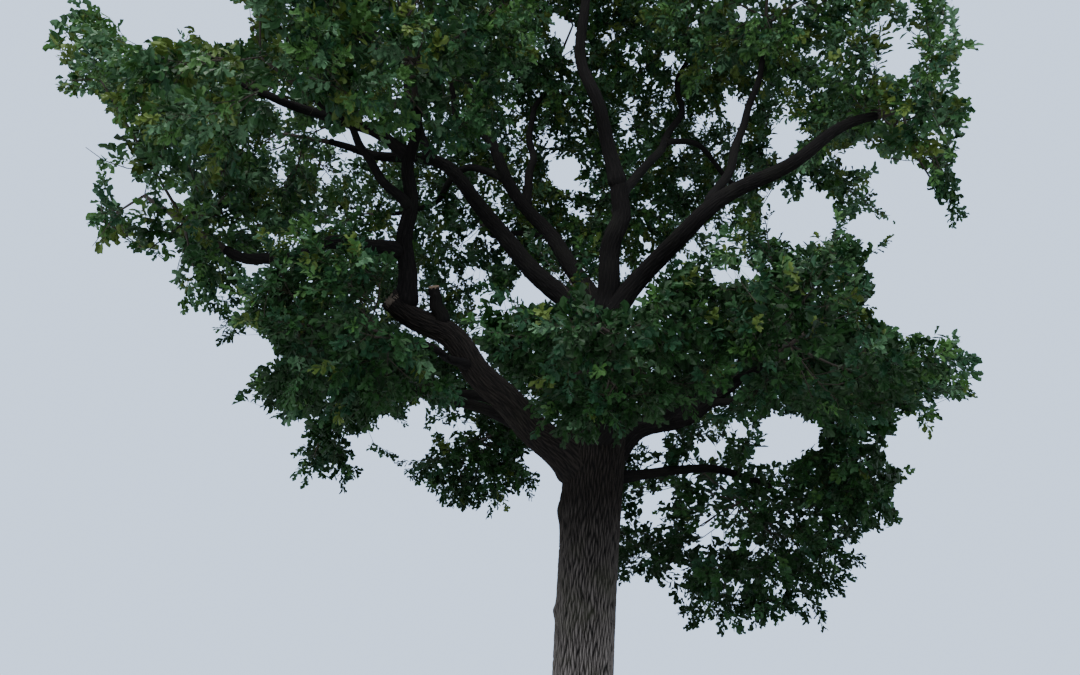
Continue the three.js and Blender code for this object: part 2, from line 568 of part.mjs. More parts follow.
const limbs = new Map([["trunk", trunk]]);
const clear = [trunkSolid(CLEARANCE)];
LIMBS.forEach((row, index) => {
  const mass = MASSES.find(({ limb }) => limb === row.name);
  const limb = new Limb({ ...row, mass }, limbs.get(row.from), index + 1);
  limbs.set(row.name, limb);
  const solid = largestBody(clear.reduce((rest, taken) => rest.subtract(taken), limbSolid(limb, 0)));
  clear.push(limbSolid(limb, CLEARANCE));
  tree.add(meshOf(row.name, solid, row.name === "west_stub" ? BROKEN_WOOD : BARK));
});

limbs.delete("trunk");
const wood = woodPoints([...limbs.values()]);
MASSES.forEach((mass, index) => {
  const foliage = new Foliage(mass, limbs.get(mass.limb), FIRST_MASS_SEED + index, wood);
  tree.add(meshOf(mass.name, foliage.solid(), FOLIAGE));
});

export default tree;
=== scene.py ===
"""A broad-crowned oak in full summer leaf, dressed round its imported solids.

The limbs and the masses of foliage follow the same named sizes and the same seeded rule as the
solids. The limbs get furrowed bark, and the masses are carried on to fine twigs, shoots and lobed
leaves within the same reach. Metres, +Z up, seen from -Y.
"""
import logging
import math
from dataclasses import dataclass, field
from enum import Enum
from typing import Any, Iterable, NamedTuple, Optional, Sequence, Union

import bpy
import numpy as np
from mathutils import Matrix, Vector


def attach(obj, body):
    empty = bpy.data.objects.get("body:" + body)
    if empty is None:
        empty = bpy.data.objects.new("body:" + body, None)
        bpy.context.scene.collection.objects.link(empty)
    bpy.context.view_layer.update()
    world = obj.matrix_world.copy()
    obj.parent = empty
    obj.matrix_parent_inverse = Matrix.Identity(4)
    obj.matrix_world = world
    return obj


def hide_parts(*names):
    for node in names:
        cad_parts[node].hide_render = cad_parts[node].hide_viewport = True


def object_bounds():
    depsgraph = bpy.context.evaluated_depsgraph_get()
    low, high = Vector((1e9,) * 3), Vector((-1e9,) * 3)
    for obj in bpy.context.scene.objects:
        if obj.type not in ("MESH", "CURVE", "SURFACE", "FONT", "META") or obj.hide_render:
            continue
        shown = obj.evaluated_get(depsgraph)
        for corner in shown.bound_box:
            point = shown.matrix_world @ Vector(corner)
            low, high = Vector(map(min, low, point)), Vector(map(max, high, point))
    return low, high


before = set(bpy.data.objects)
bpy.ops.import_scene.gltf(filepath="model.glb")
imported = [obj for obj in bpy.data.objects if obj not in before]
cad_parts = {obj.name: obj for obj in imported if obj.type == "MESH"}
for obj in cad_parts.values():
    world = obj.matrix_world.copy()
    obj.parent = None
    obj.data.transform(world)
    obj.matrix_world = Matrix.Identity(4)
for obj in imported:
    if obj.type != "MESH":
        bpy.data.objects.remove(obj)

LOG = logging.getLogger("oak")
CAD_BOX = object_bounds()
BODY = "root"

Array = np.ndarray
Colour = tuple[float, float, float]
UP = np.array([0.0, 0.0, 1.0])
RIGHT = np.array([1.0, 0.0, 0.0])
NEARLY_UP = UP + 0.01
SHORTEST = 1e-9
GOLDEN_ANGLE = math.pi * (3.0 - math.sqrt(5.0))

# The trunk: its radius at breast height and at the fork, the fork's height, how suddenly the stem
# swells below it, how far it leans there and how much of that is a bend, its root flare, and the
# burr on its left.
TRUNK_RADIUS = 0.43
FORK_RADIUS = 0.47
FORK_HEIGHT = 5.2
FORK_SWELL = 4.0
TRUNK_LEAN = 0.34
TRUNK_BEND = 0.3
FLARE_SPREAD, FLARE_HEIGHT, FLARE_BUTTRESSES, FLARE_RIDGE, FLARE_TURN = 0.3, 0.42, 5, 0.32, 0.6
BURR_HEIGHT, BURR_BEARING, BURR_RISE, BURR_REACH, BURR_SPREAD = 4.42, math.pi, 0.055, 0.2, 0.45

# How limbs are drawn: how hard a limb holds its first and last direction, how crooked it is, how it
# tapers, and how far its collar spreads where it leaves its parent.
START_PULL = 0.38
END_PULL = 0.3
CROOK = 0.028
TAPER_POWER = 0.9
COLLAR_SPREAD, COLLAR_LENGTH = 0.3, 1.3

# Each limb: name, parent, how far along it, heading and rise of its start, tip, and its two radii.
LIMBS = [
    ("leader", "trunk", 1, (25, 84), (0.55, 0.12, 7.5), (0.36, 0.27)),
    ("west_bough", "trunk", 0.9, (-157, 58), (-2.65, -1.25, 7.25), (0.26, 0.165)),
    ("west_stub", "west_bough", 0.78, (-110, 55), (-2.03, -1.4, 7.41), (0.1, 0.085)),
    ("west_riser", "west_bough", 0.93, (-115, 72), (-2.3, -2.35, 10.0), (0.15, 0.06)),
    ("west_arm", "west_riser", 0.25, (-167, 20), (-4.9, -2.0, 7.7), (0.12, 0.07)),
    ("west_tip_bough", "west_riser", 0.7, (-170, 35), (-5.3, -2.2, 10.5), (0.09, 0.05)),
    ("south_west_bough", "west_riser", 0.45, (-125, 30), (-3.5, -3.5, 9.2), (0.075, 0.04)),
    ("low_west_bough", "trunk", 0.97, (165, 50), (-3.1, 0.25, 6.35), (0.12, 0.05)),
    ("under_west_bough", "west_bough", 0.6, (-120, 5), (-2.2, -2.2, 6.2), (0.07, 0.04)),
    ("west_stem", "leader", 0.9, (165, 52), (-4.5, 1.5, 11.8), (0.19, 0.06)),
    ("top_west_stem", "west_stem", 0.66, (-170, 75), (-3.1, 0.3, 12.9), (0.08, 0.045)),
    ("north_west_stem", "leader", 0.95, (110, 66), (-2.35, 2.6, 14.0), (0.17, 0.05)),
    ("far_west_stem", "north_west_stem", 0.5, (150, 45), (-3.6, 3.6, 11.4), (0.08, 0.04)),
    ("north_spur", "north_west_stem", 0.42, (110, 80), (-0.4, 1.9, 13.2), (0.09, 0.045)),
    ("middle_stem", "leader", 0.97, (-50, 72), (0.82, -0.48, 9.65), (0.18, 0.145)),
    ("middle_west_stem", "middle_stem", 0.97, (-130, 60), (0.2, -1.6, 13.4), (0.13, 0.055)),
    ("middle_east_stem", "middle_stem", 0.9, (50, 55), (2.45, 1.3, 13.7), (0.085, 0.045)),
    ("east_stem", "leader", 0.93, (-30, 52), (4.55, -2.0, 9.95), (0.17, 0.065)),
    ("top_east_stem", "east_stem", 0.42, (-10, 70), (3.2, -1.2, 11.7), (0.08, 0.045)),
    ("low_east_bough", "trunk", 0.95, (26, 12), (3.1, 1.4, 4.95), (0.085, 0.045)),
    ("east_bough", "trunk", 0.92, (8, 58), (3.3, 0.3, 7.2), (0.2, 0.065)),
    ("far_east_bough", "east_bough", 0.55, (-5, 10), (4.2, 0.2, 6.15), (0.06, 0.035)),
    ("south_east_bough", "east_bough", 0.35, (-55, 30), (2.5, -2.3, 5.9), (0.1, 0.045)),
    ("south_bough", "trunk", 0.97, (-80, 45), (0.7, -2.1, 6.2), (0.14, 0.055)),
    ("north_bough", "leader", 0.45, (80, 45), (0.4, 3.7, 8.3), (0.15, 0.06)),
    ("north_top_stem", "north_bough", 0.55, (60, 70), (1.0, 3.5, 11.0), (0.085, 0.045)),
    ("north_east_bough", "east_bough", 0.3, (60, 35), (3.0, 3.0, 7.6), (0.12, 0.05)),
    ("far_east_stem", "middle_east_stem", 0.4, (30, 45), (3.7, 1.9, 11.1), (0.06, 0.04)),
    ("north_west_bough", "trunk", 0.98, (130, 45), (-2.9, 2.6, 7.4), (0.14, 0.05)),
    ("low_north_bough", "north_west_bough", 0.4, (100, 10), (-1.3, 2.5, 6.3), (0.06, 0.035)),
    ("inner_north_stem", "north_west_stem", 0.3, (100, 40), (-1.5, 3.1, 10.7), (0.065, 0.04)),
]

# Each mass of foliage: name, the limb it grows on from, its middle, and its reach out and up.
MASSES = [
    ("west_leaves", "west_arm", (-6.3, -1.8, 8.7), 2.1, 1.7),
    ("west_tip_leaves", "west_tip_bough", (-6.5, -2.1, 11.0), 1.9, 1.5),
    ("west_riser_leaves", "west_riser", (-2.4, -3.1, 10.8), 1.8, 2.3),
    ("south_west_leaves", "south_west_bough", (-4.0, -4.2, 9.3), 1.8, 1.6),
    ("low_west_leaves", "low_west_bough", (-4.1, 0.4, 6.4), 1.8, 1.3),
    ("under_west_leaves", "under_west_bough", (-2.7, -2.8, 6.2), 1.6, 1.0),
    ("west_stem_leaves", "west_stem", (-5.5, 1.5, 12.0), 2.1, 1.8),
    ("top_west_leaves", "top_west_stem", (-3.3, 0.0, 14.3), 2.0, 1.7),
    ("north_west_top_leaves", "north_west_stem", (-2.4, 2.9, 15.2), 2.0, 1.6),
    ("far_west_leaves", "far_west_stem", (-4.4, 4.3, 11.8), 2.1, 2.0),
    ("north_spur_leaves", "north_spur", (0.2, 1.9, 14.9), 1.9, 2.2),
    ("crown_top_leaves", "middle_west_stem", (0.0, -1.6, 15.4), 2.0, 2.1),
    ("middle_east_leaves", "middle_east_stem", (2.5, 1.4, 14.7), 2.0, 2.0),
    ("east_tip_leaves", "east_stem", (5.6, -1.5, 10.5), 1.9, 1.9),
    ("top_east_leaves", "top_east_stem", (3.3, -1.6, 12.9), 2.0, 1.8),
    ("low_east_leaves", "low_east_bough", (2.6, 1.9, 4.8), 2.5, 1.8),
    ("far_east_leaves", "far_east_bough", (4.8, 0.1, 5.6), 1.5, 1.3),
    ("east_leaves", "east_bough", (3.9, 0.2, 8.0), 1.6, 1.3),
    ("south_east_leaves", "south_east_bough", (3.0, -2.8, 6.2), 1.9, 1.1),
    ("south_leaves", "south_bough", (0.3, -3.0, 6.1), 1.6, 1.1),
    ("north_leaves", "north_bough", (0.4, 4.8, 8.6), 2.2, 1.9),
    ("north_top_leaves", "north_top_stem", (1.2, 4.2, 12.6), 2.4, 2.1),
    ("north_east_leaves", "north_east_bough", (3.9, 3.8, 8.1), 2.0, 1.8),
    ("far_east_top_leaves", "far_east_stem", (4.7, 2.4, 11.8), 2.0, 1.9),
    ("north_west_leaves", "north_west_bough", (-3.6, 3.4, 8.2), 2.3, 1.7),
    ("low_north_leaves", "low_north_bough", (-1.6, 3.3, 6.4), 1.6, 1.0),
    ("inner_north_leaves", "inner_north_stem", (-1.9, 3.9, 11.5), 1.9, 2.3),
]

# Openings where sky shows through the crown or beside it, on the upright plane through the trunk as
# seen from the eye: X, Z, half width and half height.
EYE = np.array([-0.48, -14.0, 1.6])
EYE_PITCH = 21.7
SKY_GAPS = np.array([
    (-0.64, 8.0, 0.32, 0.29), (-1.46, 8.29, 0.33, 0.14), (-0.99, 7.68, 0.16, 0.14),
    (-0.07, 10.13, 0.22, 0.26), (-0.01, 13.16, 0.14, 0.3), (1.82, 12.54, 0.22, 0.12),
    (3.23, 13.57, 0.13, 0.22), (2.95, 11.36, 0.19, 0.23), (1.88, 10.33, 0.17, 0.1),
    (3.84, 10.81, 0.14, 0.24), (5.6, 9.97, 0.51, 0.44), (4.95, 9.13, 0.33, 0.23),
    (3.92, 9.36, 0.7, 0.43), (5.63, 8.3, 0.85, 0.68), (6.1, 8.45, 0.98, 0.78), (2.7, 8.29, 0.33, 0.16),
    (3.39, 5.65, 0.43, 0.28), (2.73, 5.62, 0.23, 0.13), (3.18, 5.23, 0.27, 0.22),
    (2.02, 5.24, 0.24, 0.11), (1.27, 5.49, 0.18, 0.22), (1.25, 4.6, 0.27, 0.21),
    (1.99, 4.16, 0.15, 0.23), (0.97, 2.99, 0.51, 0.45), (6.25, 5.2, 0.91, 0.75),
    (5.05, 5.34, 0.27, 0.22), (5.19, 3.27, 0.57, 0.86), (6.08, 12.58, 0.32, 0.31),
    (-8.6, 9.82, 0.62, 0.72), (-8.41, 8.82, 0.66, 0.37),
    (-7.41, 9.82, 0.24, 0.12), (-7.69, 8.0, 1.46, 0.91), (-6.64, 9.76, 0.17, 0.07),
    (-6.85, 7.04, 1.19, 0.78), (-5.1, 6.92, 0.47, 0.45), (-5.5, 5.45, 0.6, 0.4),
    (-3.63, 10.91, 0.35, 0.14), (-4.9, 5.37, 0.76, 0.6), (-2.69, 5.54, 0.69, 0.28),
    (-1.84, 5.68, 0.37, 0.15), (-0.5, 5.18, 0.3, 0.18), (-8.5, 11.03, 0.8, 0.38),
    (-6.3, 13.32, 0.57, 0.44), (-7.37, 13.85, 1.07, 0.81), (-10.6, 9.9, 2.5, 2.3),
    (-11.4, 13.0, 2.0, 2.3), (-9.3, 11.3, 0.84, 0.46), (-8.5, 15.7, 2.1, 1.8), (-9.6, 19.6, 4.1, 4.1),
    (-7.8, 5.7, 2.3, 2.4), (7.47, 10.8, 0.52, 0.45), (10.0, 11.5, 2.8, 3.0), (10.3, 16.6, 3.4, 3.9),
    (8.0, 6.3, 1.7, 1.6), (7.0, 3.6, 1.7, 1.6), (9.5, 22.0, 3.5, 4.2), (-9.46, 13.96, 0.33, 0.33),
    (-9.58, 12.21, 0.48, 0.66), (-8.61, 11.3, 0.79, 0.38), (-5.67, 6.21, 0.39, 0.5),
    (-2.36, 5.94, 0.21, 0.23), (8.13, 13.43, 0.85, 1.04), (7.3, 12.32, 0.39, 0.49),
    (7.15, 10.25, 0.6, 0.77), (5.77, 9.51, 0.5, 0.29), (3.83, 8.95, 0.66, 0.15),
    (5.4, 7.73, 0.56, 0.43), (6.46, 7.39, 0.4, 0.49), (6.06, 5.89, 0.43, 0.3), (5.11, 5.73, 0.23, 0.23),
    (5.39, 4.57, 0.56, 0.54), (4.84, 3.84, 0.32, 0.37), (-8.3, 13.75, 0.3, 0.4), (5.05, 10.6, 0.3, 0.24),
])

# Stretches of limb that the viewer sees whole, with no foliage in front: limb, from and to, as
# shares of its length, and how wide a strip beside it is clear.
SEEN_LIMBS = [
    ("west_bough", 0.42, 1), ("west_stub", 0, 1), ("west_riser", 0, 0.3), ("west_arm", 0.72, 1),
    ("west_tip_bough", 0.4, 0.75), ("west_stem", 0.14, 0.55), ("north_west_stem", 0.2, 0.5),
    ("north_spur", 0, 0.35), ("middle_stem", 0.18, 1), ("middle_west_stem", 0, 0.75),
    ("middle_east_stem", 0, 0.45), ("east_stem", 0.14, 0.62), ("low_east_bough", 0, 0.6),
]
SEEN_GAP = 0.05

# How far the edge of an opening wanders in and out, and the two crossed waves that it follows: how
# fast each runs, how far it is bent, and how fast the bend runs. The edge of a small opening wanders
# less, down to a least share: the share grows with the opening's half width.
RAGGED = 0.21
RAGGED_WAVES = ((5.3, 2.1, 3.7), (6.1, 1.9, 4.3))
RAGGED_LEAST, RAGGED_GROWTH, RAGGED_FROM = 0.55, 3.0, 1.0

# The growing rule, which is the solids' own: seeded ends in a mass's shell, each joined by the
# shortest way back to the limb. The number of ends is larger here, most of all where sky would show
# through the crown.
ENDS_PER_MASS = 57
DENSE_MASSES = {
    "north_top_leaves": 122, "inner_north_leaves": 84, "north_spur_leaves": 100, "crown_top_leaves": 78,
    "middle_east_leaves": 92, "top_east_leaves": 72, "far_east_top_leaves": 66, "south_leaves": 66,
    "low_east_leaves": 96, "far_east_leaves": 66, "north_west_leaves": 66, "west_riser_leaves": 80,
}
TRIES_PER_MASS = 320
TWIG_BALANCE = 0.55
TWIG_RADIUS = 0.022
STEM_SHARE = 0.85
SHELL = 0.45
SPREAD = (0.8191725134, 0.6710436067, 0.5497004779)
FIRST_MASS_SEED = 101
CELL_GAP = 0.02
LIMB_GAP = 0.05
WOOD_STEP = 0.15
CLEARANCE = 0.0003

# The large multiples behind every repeatable number, and the step between the rows of a lattice.
CHANCE_MULTIPLES = (12.9898, 78.233, 43758.5453)
LATTICE_STEP = 1.37

# Plates of bark: how far a plate's middle strays in its cell, round and along, what draws each
# stray, how much a distance along counts, the power that shapes the plates' corners, how many cells
# off a middle may lie, and how much of a plate's top a pole is.
PLATE_STRAYS = ((0.7, 0.0, 1.7), (0.6, 7.7, 2.3))
PLATE_SQUAT, PLATE_POWER = 0.8, 1.2
PLATE_REACH = range(-2, 3)
POLE_PLATE = 0.3

# The waves that sway the plates: weight, length in plates, plates across, and what draws it. Their
# sum is this much on average.
PLATE_SWAYS = ((1.0, 1.0, 3, 5.1), (0.5, 0.4, 2, 8.1))
SWAY_MIDDLE = 0.75


def chance(seed: Union[float, Array], count: Union[float, Array]) -> Union[float, Array]:
    """Gives repeatable numbers from 0 to 1: the fraction of a large multiple of a sine.

    A fraction added to a counter draws another number for the same twig, shoot or leaf.

    Args:
        seed: one seed or an array of them.
        count: a counter or an array of them.

    Returns:
        A number or an array from 0 to 1.
    """
    by_seed, by_count, spread = CHANCE_MULTIPLES
    value = np.sin(np.asarray(seed) * by_seed + np.asarray(count) * by_count) * spread
    return value - np.floor(value)


def smooth(share: Array) -> Array:
    """Gives a smoothstep of a share, kept from 0 to 1."""
    share = np.clip(share, 0.0, 1.0)
    return share * share * (3 - 2 * share)


def unit(vectors: Array) -> Array:
    """Gives vectors their unit length, along the last axis."""
    return vectors / np.maximum(np.linalg.norm(vectors, axis=-1, keepdims=True), SHORTEST)


def square_to(along: Array, guide: Array = NEARLY_UP) -> tuple[Array, Array]:
    """Gives two unit vectors square to each way and to each other, the first also to the guide."""
    across = unit(np.cross(along, guide))
    return across, np.cross(along, across)


def turned(turn: Array, across: Array, upward: Array) -> Array:
    """Gives vectors at an angle: its cosine times one vector plus its sine times the other."""
    return np.cos(turn)[..., None] * across + np.sin(turn)[..., None] * upward


def direction(heading: float, rise: float) -> Array:
    """Gives the unit vector of a heading and a rise in degrees."""
    h, r = math.radians(heading), math.radians(rise)
    return np.array([math.cos(r) * math.cos(h), math.cos(r) * math.sin(h), math.sin(r)])


def cell_noise(u: Array, v: Array, around: int, seed: float) -> Array:
    """Gives smooth noise from 0 to 1 on a lattice that closes on itself in u.

    Each lattice corner has a seeded number, and a smoothstep blends the four round a point.

    Args:
        u: turns, from 0 to 1, that repeat.
        v: places along, in lattice cells.
        around: how many cells go round.
        seed: which noise.

    Returns:
        The noise at each place.
    """
    x = u * around
    i, j = np.floor(x), np.floor(v)
    fx, fy = smooth(x - i), smooth(v - j)

    def corner(a: Array, b: Array) -> Array:
        """Gives the seeded number at a lattice corner."""
        return chance(np.mod(a, around) + seed, b * LATTICE_STEP + seed)

    low = corner(i, j) * (1 - fx) + corner(i + 1, j) * fx
    high = corner(i, j + 1) * (1 - fx) + corner(i + 1, j + 1) * fx
    return low * (1 - fy) + high * fy


def plate_edges(x: Array, y: Array, around: int, seed: float) -> Array:
    """Gives how far each place is from the edge of its plate, in cells.

    Every lattice cell has one seeded middle, and odd columns stand half a cell up, so that plates
    interlock. The result is the distance to the second nearest middle less that to the nearest,
    where a distance is the root of the sum of both offsets to the plates' power.

    Args:
        x: places round, in cells, that repeat after the whole turn.
        y: places along, in cells.
        around: how many cells go round, an even number.
        seed: which plates.

    Returns:
        The distance from the edge.
    """
    column, row = np.floor(x), np.floor(y)
    nearest, second = np.full(x.shape, 9.0), np.full(x.shape, 9.0)
    (wide, x_seed, x_step), (tall, y_seed, y_step) = PLATE_STRAYS
    for across in PLATE_REACH:
        for up in PLATE_REACH:
            mark = np.mod(column + across, around)
            level = row + up + 0.5 * np.mod(mark, 2)
            middle_x = column + across + 0.5 + wide * (chance(mark + seed + x_seed, level * x_step) - 0.5)
            middle_y = level + 0.5 + tall * (chance(mark + seed + y_seed, level * y_step) - 0.5)
            aside, above = np.abs(x - middle_x), PLATE_SQUAT * np.abs(y - middle_y)
            away = (aside**PLATE_POWER + above**PLATE_POWER) ** (1 / PLATE_POWER)
            second = np.where(away < nearest, nearest, np.minimum(second, away))
            nearest = np.minimum(nearest, away)
    return second - nearest


@dataclass(frozen=True)
class BarkRelief:
    """Furrowed bark: long plates that interlock, between furrows that meet and part.

    Attributes:
        pitch: how far apart the plates are round the limb.
        plate: how long a plate is.
        depth: how deep the furrows are on a limb of the trunk's size.
        furrow: how wide a furrow's side is, in plates.
        weave: how far the plates stray sideways, in plates.
        crumb: the length of a crumb of bark.
        crumbs: how many crumbs a plate has across.
        crumble: how much of the height is crumbs.
        wear: how much of a plate's top the crumbs wear off.
        thinning: the power of a limb's radius that its furrows' depth goes with.
        fewest: the fewest plates round a limb.
    """

    pitch: float = 0.031
    plate: float = 0.3
    depth: float = 0.03
    furrow: float = 0.6
    weave: float = 1.3
    crumb: float = 0.04
    crumbs: int = 3
    crumble: float = 0.15
    wear: float = 0.25
    thinning: float = 0.75
    fewest: int = 6

    def at(self, turn: Array, along: Array, radius: float, seed: float) -> tuple[Array, Array]:
        """Gives the bark's height and how much of a plate's top each place is.

        The height rises from a furrow's floor to a plate's top by a smoothstep of the distance from
        the plate's edge, with a fine crumble added.

        Args:
            turn: turns round the limb, from 0 to 1.
            along: metres along the limb.
            radius: the limb's radius at its base.
            seed: which bark.

        Returns:
            The height to add in metres, at most 0, and the plate share from 0 to 1.
        """
        cells = max(self.fewest, 2 * round(math.pi * radius / self.pitch))
        sway = sum(
            weight * cell_noise(turn, along / (long * self.plate), max(3, cells // wide), seed + draw)
            for weight, long, wide, draw in PLATE_SWAYS
        )
        edge = plate_edges(turn * cells + self.weave * (sway - SWAY_MIDDLE), along / self.plate, cells, seed)
        plate = smooth(edge / self.furrow)
        crumb = cell_noise(turn, along / self.crumb, cells * self.crumbs, seed + 3.3)
        depth = self.depth * min(1.0, (radius / TRUNK_RADIUS) ** self.thinning)
        height = (1 - self.crumble) * plate + self.crumble * crumb - 1
        return depth * height, plate * (1 - self.wear + self.wear * crumb)


class Value:
    """A socket that is worked with as a number: each operator adds its Math node."""

    def __init__(self, shader: "Shader", socket: bpy.types.NodeSocket) -> None:
        """Keeps the shader and the socket."""
        self.shader = shader
        self.socket = socket

    def math(self, operation: str, *others: Any) -> "Value":
        """Adds a Math node on this value and others."""
        node = self.shader.node("ShaderNodeMath", {"operation": operation}, dict(enumerate((self, *others))))
        return Value(self.shader, node.outputs[0])

    def __add__(self, other: Any) -> "Value":
        """Adds."""
        return self.math("ADD", other)

    __radd__ = __add__

    def __sub__(self, other: Any) -> "Value":
        """Subtracts."""
        return self.math("SUBTRACT", other)

    def __rsub__(self, other: float) -> "Value":
        """Subtracts this value from a number."""
        return (self * -1.0) + other

    def __mul__(self, other: Any) -> "Value":
        """Multiplies."""
        return self.math("MULTIPLY", other)

    __rmul__ = __mul__

    def clamped(self) -> "Value":
        """Keeps the value from 0 to 1."""
        return self.math("MAXIMUM", 0.0).math("MINIMUM", 1.0)


class Shader:
    """A material under construction, with one surface shader."""

    NOISE_ROUGHNESS = 0.6

    def __init__(self, name: str, **constants: float) -> None:
        """Makes the material and sets the shader's own constants.

        Args:
            name: the material's name.
            constants: values of the surface shader's sockets, with _ for a space.
        """
        self.material = bpy.data.materials.new(name)
        self.material.use_nodes = True
        self.tree = self.material.node_tree
        self.surface = self.tree.nodes["Principled BSDF"]
        for key, value in constants.items():
            self.surface.inputs[key.replace("_", " ")].default_value = value
        self.place = self.node("ShaderNodeTexCoord").outputs["Object"]

    def node(self, kind: str, settings: Optional[dict] = None,
             inputs: Optional[dict] = None) -> bpy.types.Node:
        """Adds a node.

        Args:
            kind: the node's type.
            settings: its own settings, set first.
            inputs: values or links of its sockets, by name or number.

        Returns:
            The node.
        """
        node = self.tree.nodes.new(kind)
        for key, value in (settings or {}).items():
            setattr(node, key, value)
        for key, value in (inputs or {}).items():
            self.feed(node.inputs[key], value)
        return node

    def feed(self, socket: bpy.types.NodeSocket, value: Any) -> None:
        """Links a value or another socket to a socket, or sets a constant.

        Args:
            socket: the socket.
            value: what it gets.
        """
        if isinstance(value, Value):
            value = value.socket
        if isinstance(value, bpy.types.NodeSocket):
            self.tree.links.new(value, socket)
        elif isinstance(value, tuple) and len(value) == 3 and socket.type == "RGBA":
            socket.default_value = (*value, 1.0)
        else:
            socket.default_value = value

    def stretched(self, scale: Sequence[float]) -> bpy.types.NodeSocket:
        """Gives the object's own coordinates, stretched."""
        return self.node("ShaderNodeMapping", {}, {"Vector": self.place, "Scale": tuple(scale)}).outputs[0]

    def noise(self, scale: float, detail: float, where: Optional[bpy.types.NodeSocket] = None) -> Value:
        """Adds a noise.

        Args:
            scale: how fine it is.
            detail: how many finer ones are added to it.
            where: the coordinates, or none for the object's own.

        Returns:
            The noise, from 0 to 1.
        """
        inputs = {"Vector": where or self.place, "Scale": scale, "Detail": detail}
        made = self.node("ShaderNodeTexNoise", {}, {**inputs, "Roughness": self.NOISE_ROUGHNESS})
        return Value(self, made.outputs["Fac"])

    def attribute(self, name: str) -> Value:
        """Gives a number that is kept on the mesh."""
        return Value(self, self.node("ShaderNodeAttribute", {"attribute_name": name}).outputs["Fac"])

    def mix(self, share: Any, first: Any, second: Any) -> bpy.types.NodeSocket:
        """Mixes two colours.

        Args:
            share: how much of the second, from 0 to 1.
            first: the first.
            second: the second.

        Returns:
            The mixed colour.
        """
        made = self.node("ShaderNodeMix", {"data_type": "RGBA"}, {"Factor": share})
        self.feed(made.inputs[6], first)
        self.feed(made.inputs[7], second)
        return made.outputs[2]

    def dress(self, colour: Any, roughness: Any, relief: Optional[Value] = None, depth: float = 0.0) -> None:
        """Feeds the surface shader.

        Args:
            colour: the base colour's link.
            roughness: the roughness's value or link.
            relief: heights for a bump, if any.
            depth: how deep the bump is in metres.
        """
        self.feed(self.surface.inputs["Base Color"], colour)
        self.feed(self.surface.inputs["Roughness"], roughness)
        if relief is not None:
            bump = self.node("ShaderNodeBump", {}, {"Height": relief, "Distance": depth, "Strength": 1.0})
            self.feed(self.surface.inputs["Normal"], bump.outputs[0])


@dataclass(frozen=True)
class Growth:
    """What grows on bark in patches: a film of algae or a pale crust.

    Attributes:
        colour: its colour.
        start: the noise over which it grows.
        edge: how sharp its edge is.
        cover: how much of the bark's colour it hides.
        lost: how much less it hides high up, where the bark is damp and painted in shade.
    """

    colour: Colour
    start: float
    edge: float
    cover: float
    lost: float

    def over(self, noise: Value, damp_and_shade: Value) -> Value:
        """Gives how much of the bark's colour it hides."""
        return ((noise - self.start) * self.edge).clamped() * (self.cover - damp_and_shade * self.lost)


@dataclass(frozen=True)
class BarkFinish:
    """Oak bark: grey-brown plates, dark furrows with painted shade, pale crust, and damp bark up in the
    crown, darkened further as painted shade.

    Attributes:
        name: the material's name.
        plate: the colour of the plates' tops.
        damp_and_shaded_plate: the colour of the plates' tops high up: damp bark, darkened as painted shade
            under the crown.
        furrow: the colour deep in the furrows: the bark's own darker colour and painted shade in them.
        crust: the pale crust, on the plates only.
        film: the green film of algae.
        dry_and_unshaded_below: the height under which the bark is dry and has no painted shade.
        damp_and_shaded_above: the height over which it is fully damp and painted in shade.
        fibres: the scale and the detail of the grain, and how far it is drawn out.
        patches: the scale and the detail of the damp patches.
        spots: the scale and the detail of the crust's spots.
        grain_share: how much of the grain shows in the tone.
        darkness: how much the tone is lowered.
        roughness: how matt the bark is.
        crust_shine: how much less matt the crust is.
        crust_relief: how far the crust stands out, beside the grain.
        bump: how deep the grain is.
    """

    name: str
    plate: Colour = (0.215, 0.194, 0.182)
    damp_and_shaded_plate: Colour = (0.03, 0.025, 0.0215)
    furrow: Colour = (0.006, 0.0055, 0.0055)
    crust: Growth = Growth((0.24, 0.225, 0.21), 0.58, 6.0, 0.5, 0.45)
    film: Growth = Growth((0.07, 0.08, 0.045), 0.516, 5.0, 0.45, 0.4)
    dry_and_unshaded_below: float = 2.1
    damp_and_shaded_above: float = 4.5
    fibres: tuple[float, float, float] = (70.0, 4.0, 0.25)
    patches: tuple[float, float] = (1.7, 4.0)
    spots: tuple[float, float] = (9.0, 5.0)
    grain_share: float = 0.5
    darkness: float = 0.28
    roughness: float = 0.97
    crust_shine: float = 0.1
    crust_relief: float = 0.5
    bump: float = 0.006

    def material(self) -> bpy.types.Material:
        """Builds the material from the height kept on the mesh and noises on the object's place."""
        shader = Shader(self.name, Specular_IOR_Level=0.2)
        height = shader.attribute("plate")
        scale, detail, drawn = self.fibres
        grain = shader.noise(scale, detail, shader.stretched((1.0, 1.0, drawn)))
        patches, spots = shader.noise(*self.patches), shader.noise(*self.spots)
        level = Value(shader, shader.node("ShaderNodeSeparateXYZ", {}, {0: shader.place}).outputs["Z"])
        # Darker up in the crown: damp bark and painted shade under the crown, made uneven by the patches.
        damp_and_shade = (level - self.dry_and_unshaded_below + patches - 0.5) * (1 / (self.damp_and_shaded_above - self.dry_and_unshaded_below))
        damp_and_shade = damp_and_shade.clamped()
        # Towards the furrows' floor the colour darkens: partly the bark's own, partly painted shade in the
        # furrows.
        tone = (height + grain * self.grain_share - self.darkness).clamped()
        colour = shader.mix(tone, self.furrow, shader.mix(damp_and_shade, self.plate, self.damp_and_shaded_plate))
        colour = shader.mix(self.film.over(patches, damp_and_shade), colour, self.film.colour)
        crust = self.crust.over(spots, damp_and_shade) * height
        colour = shader.mix(crust, colour, self.crust.colour)
        relief = grain + spots * self.crust_relief
        shader.dress(colour, self.roughness - crust * self.crust_shine, relief, self.bump)
        return shader.material


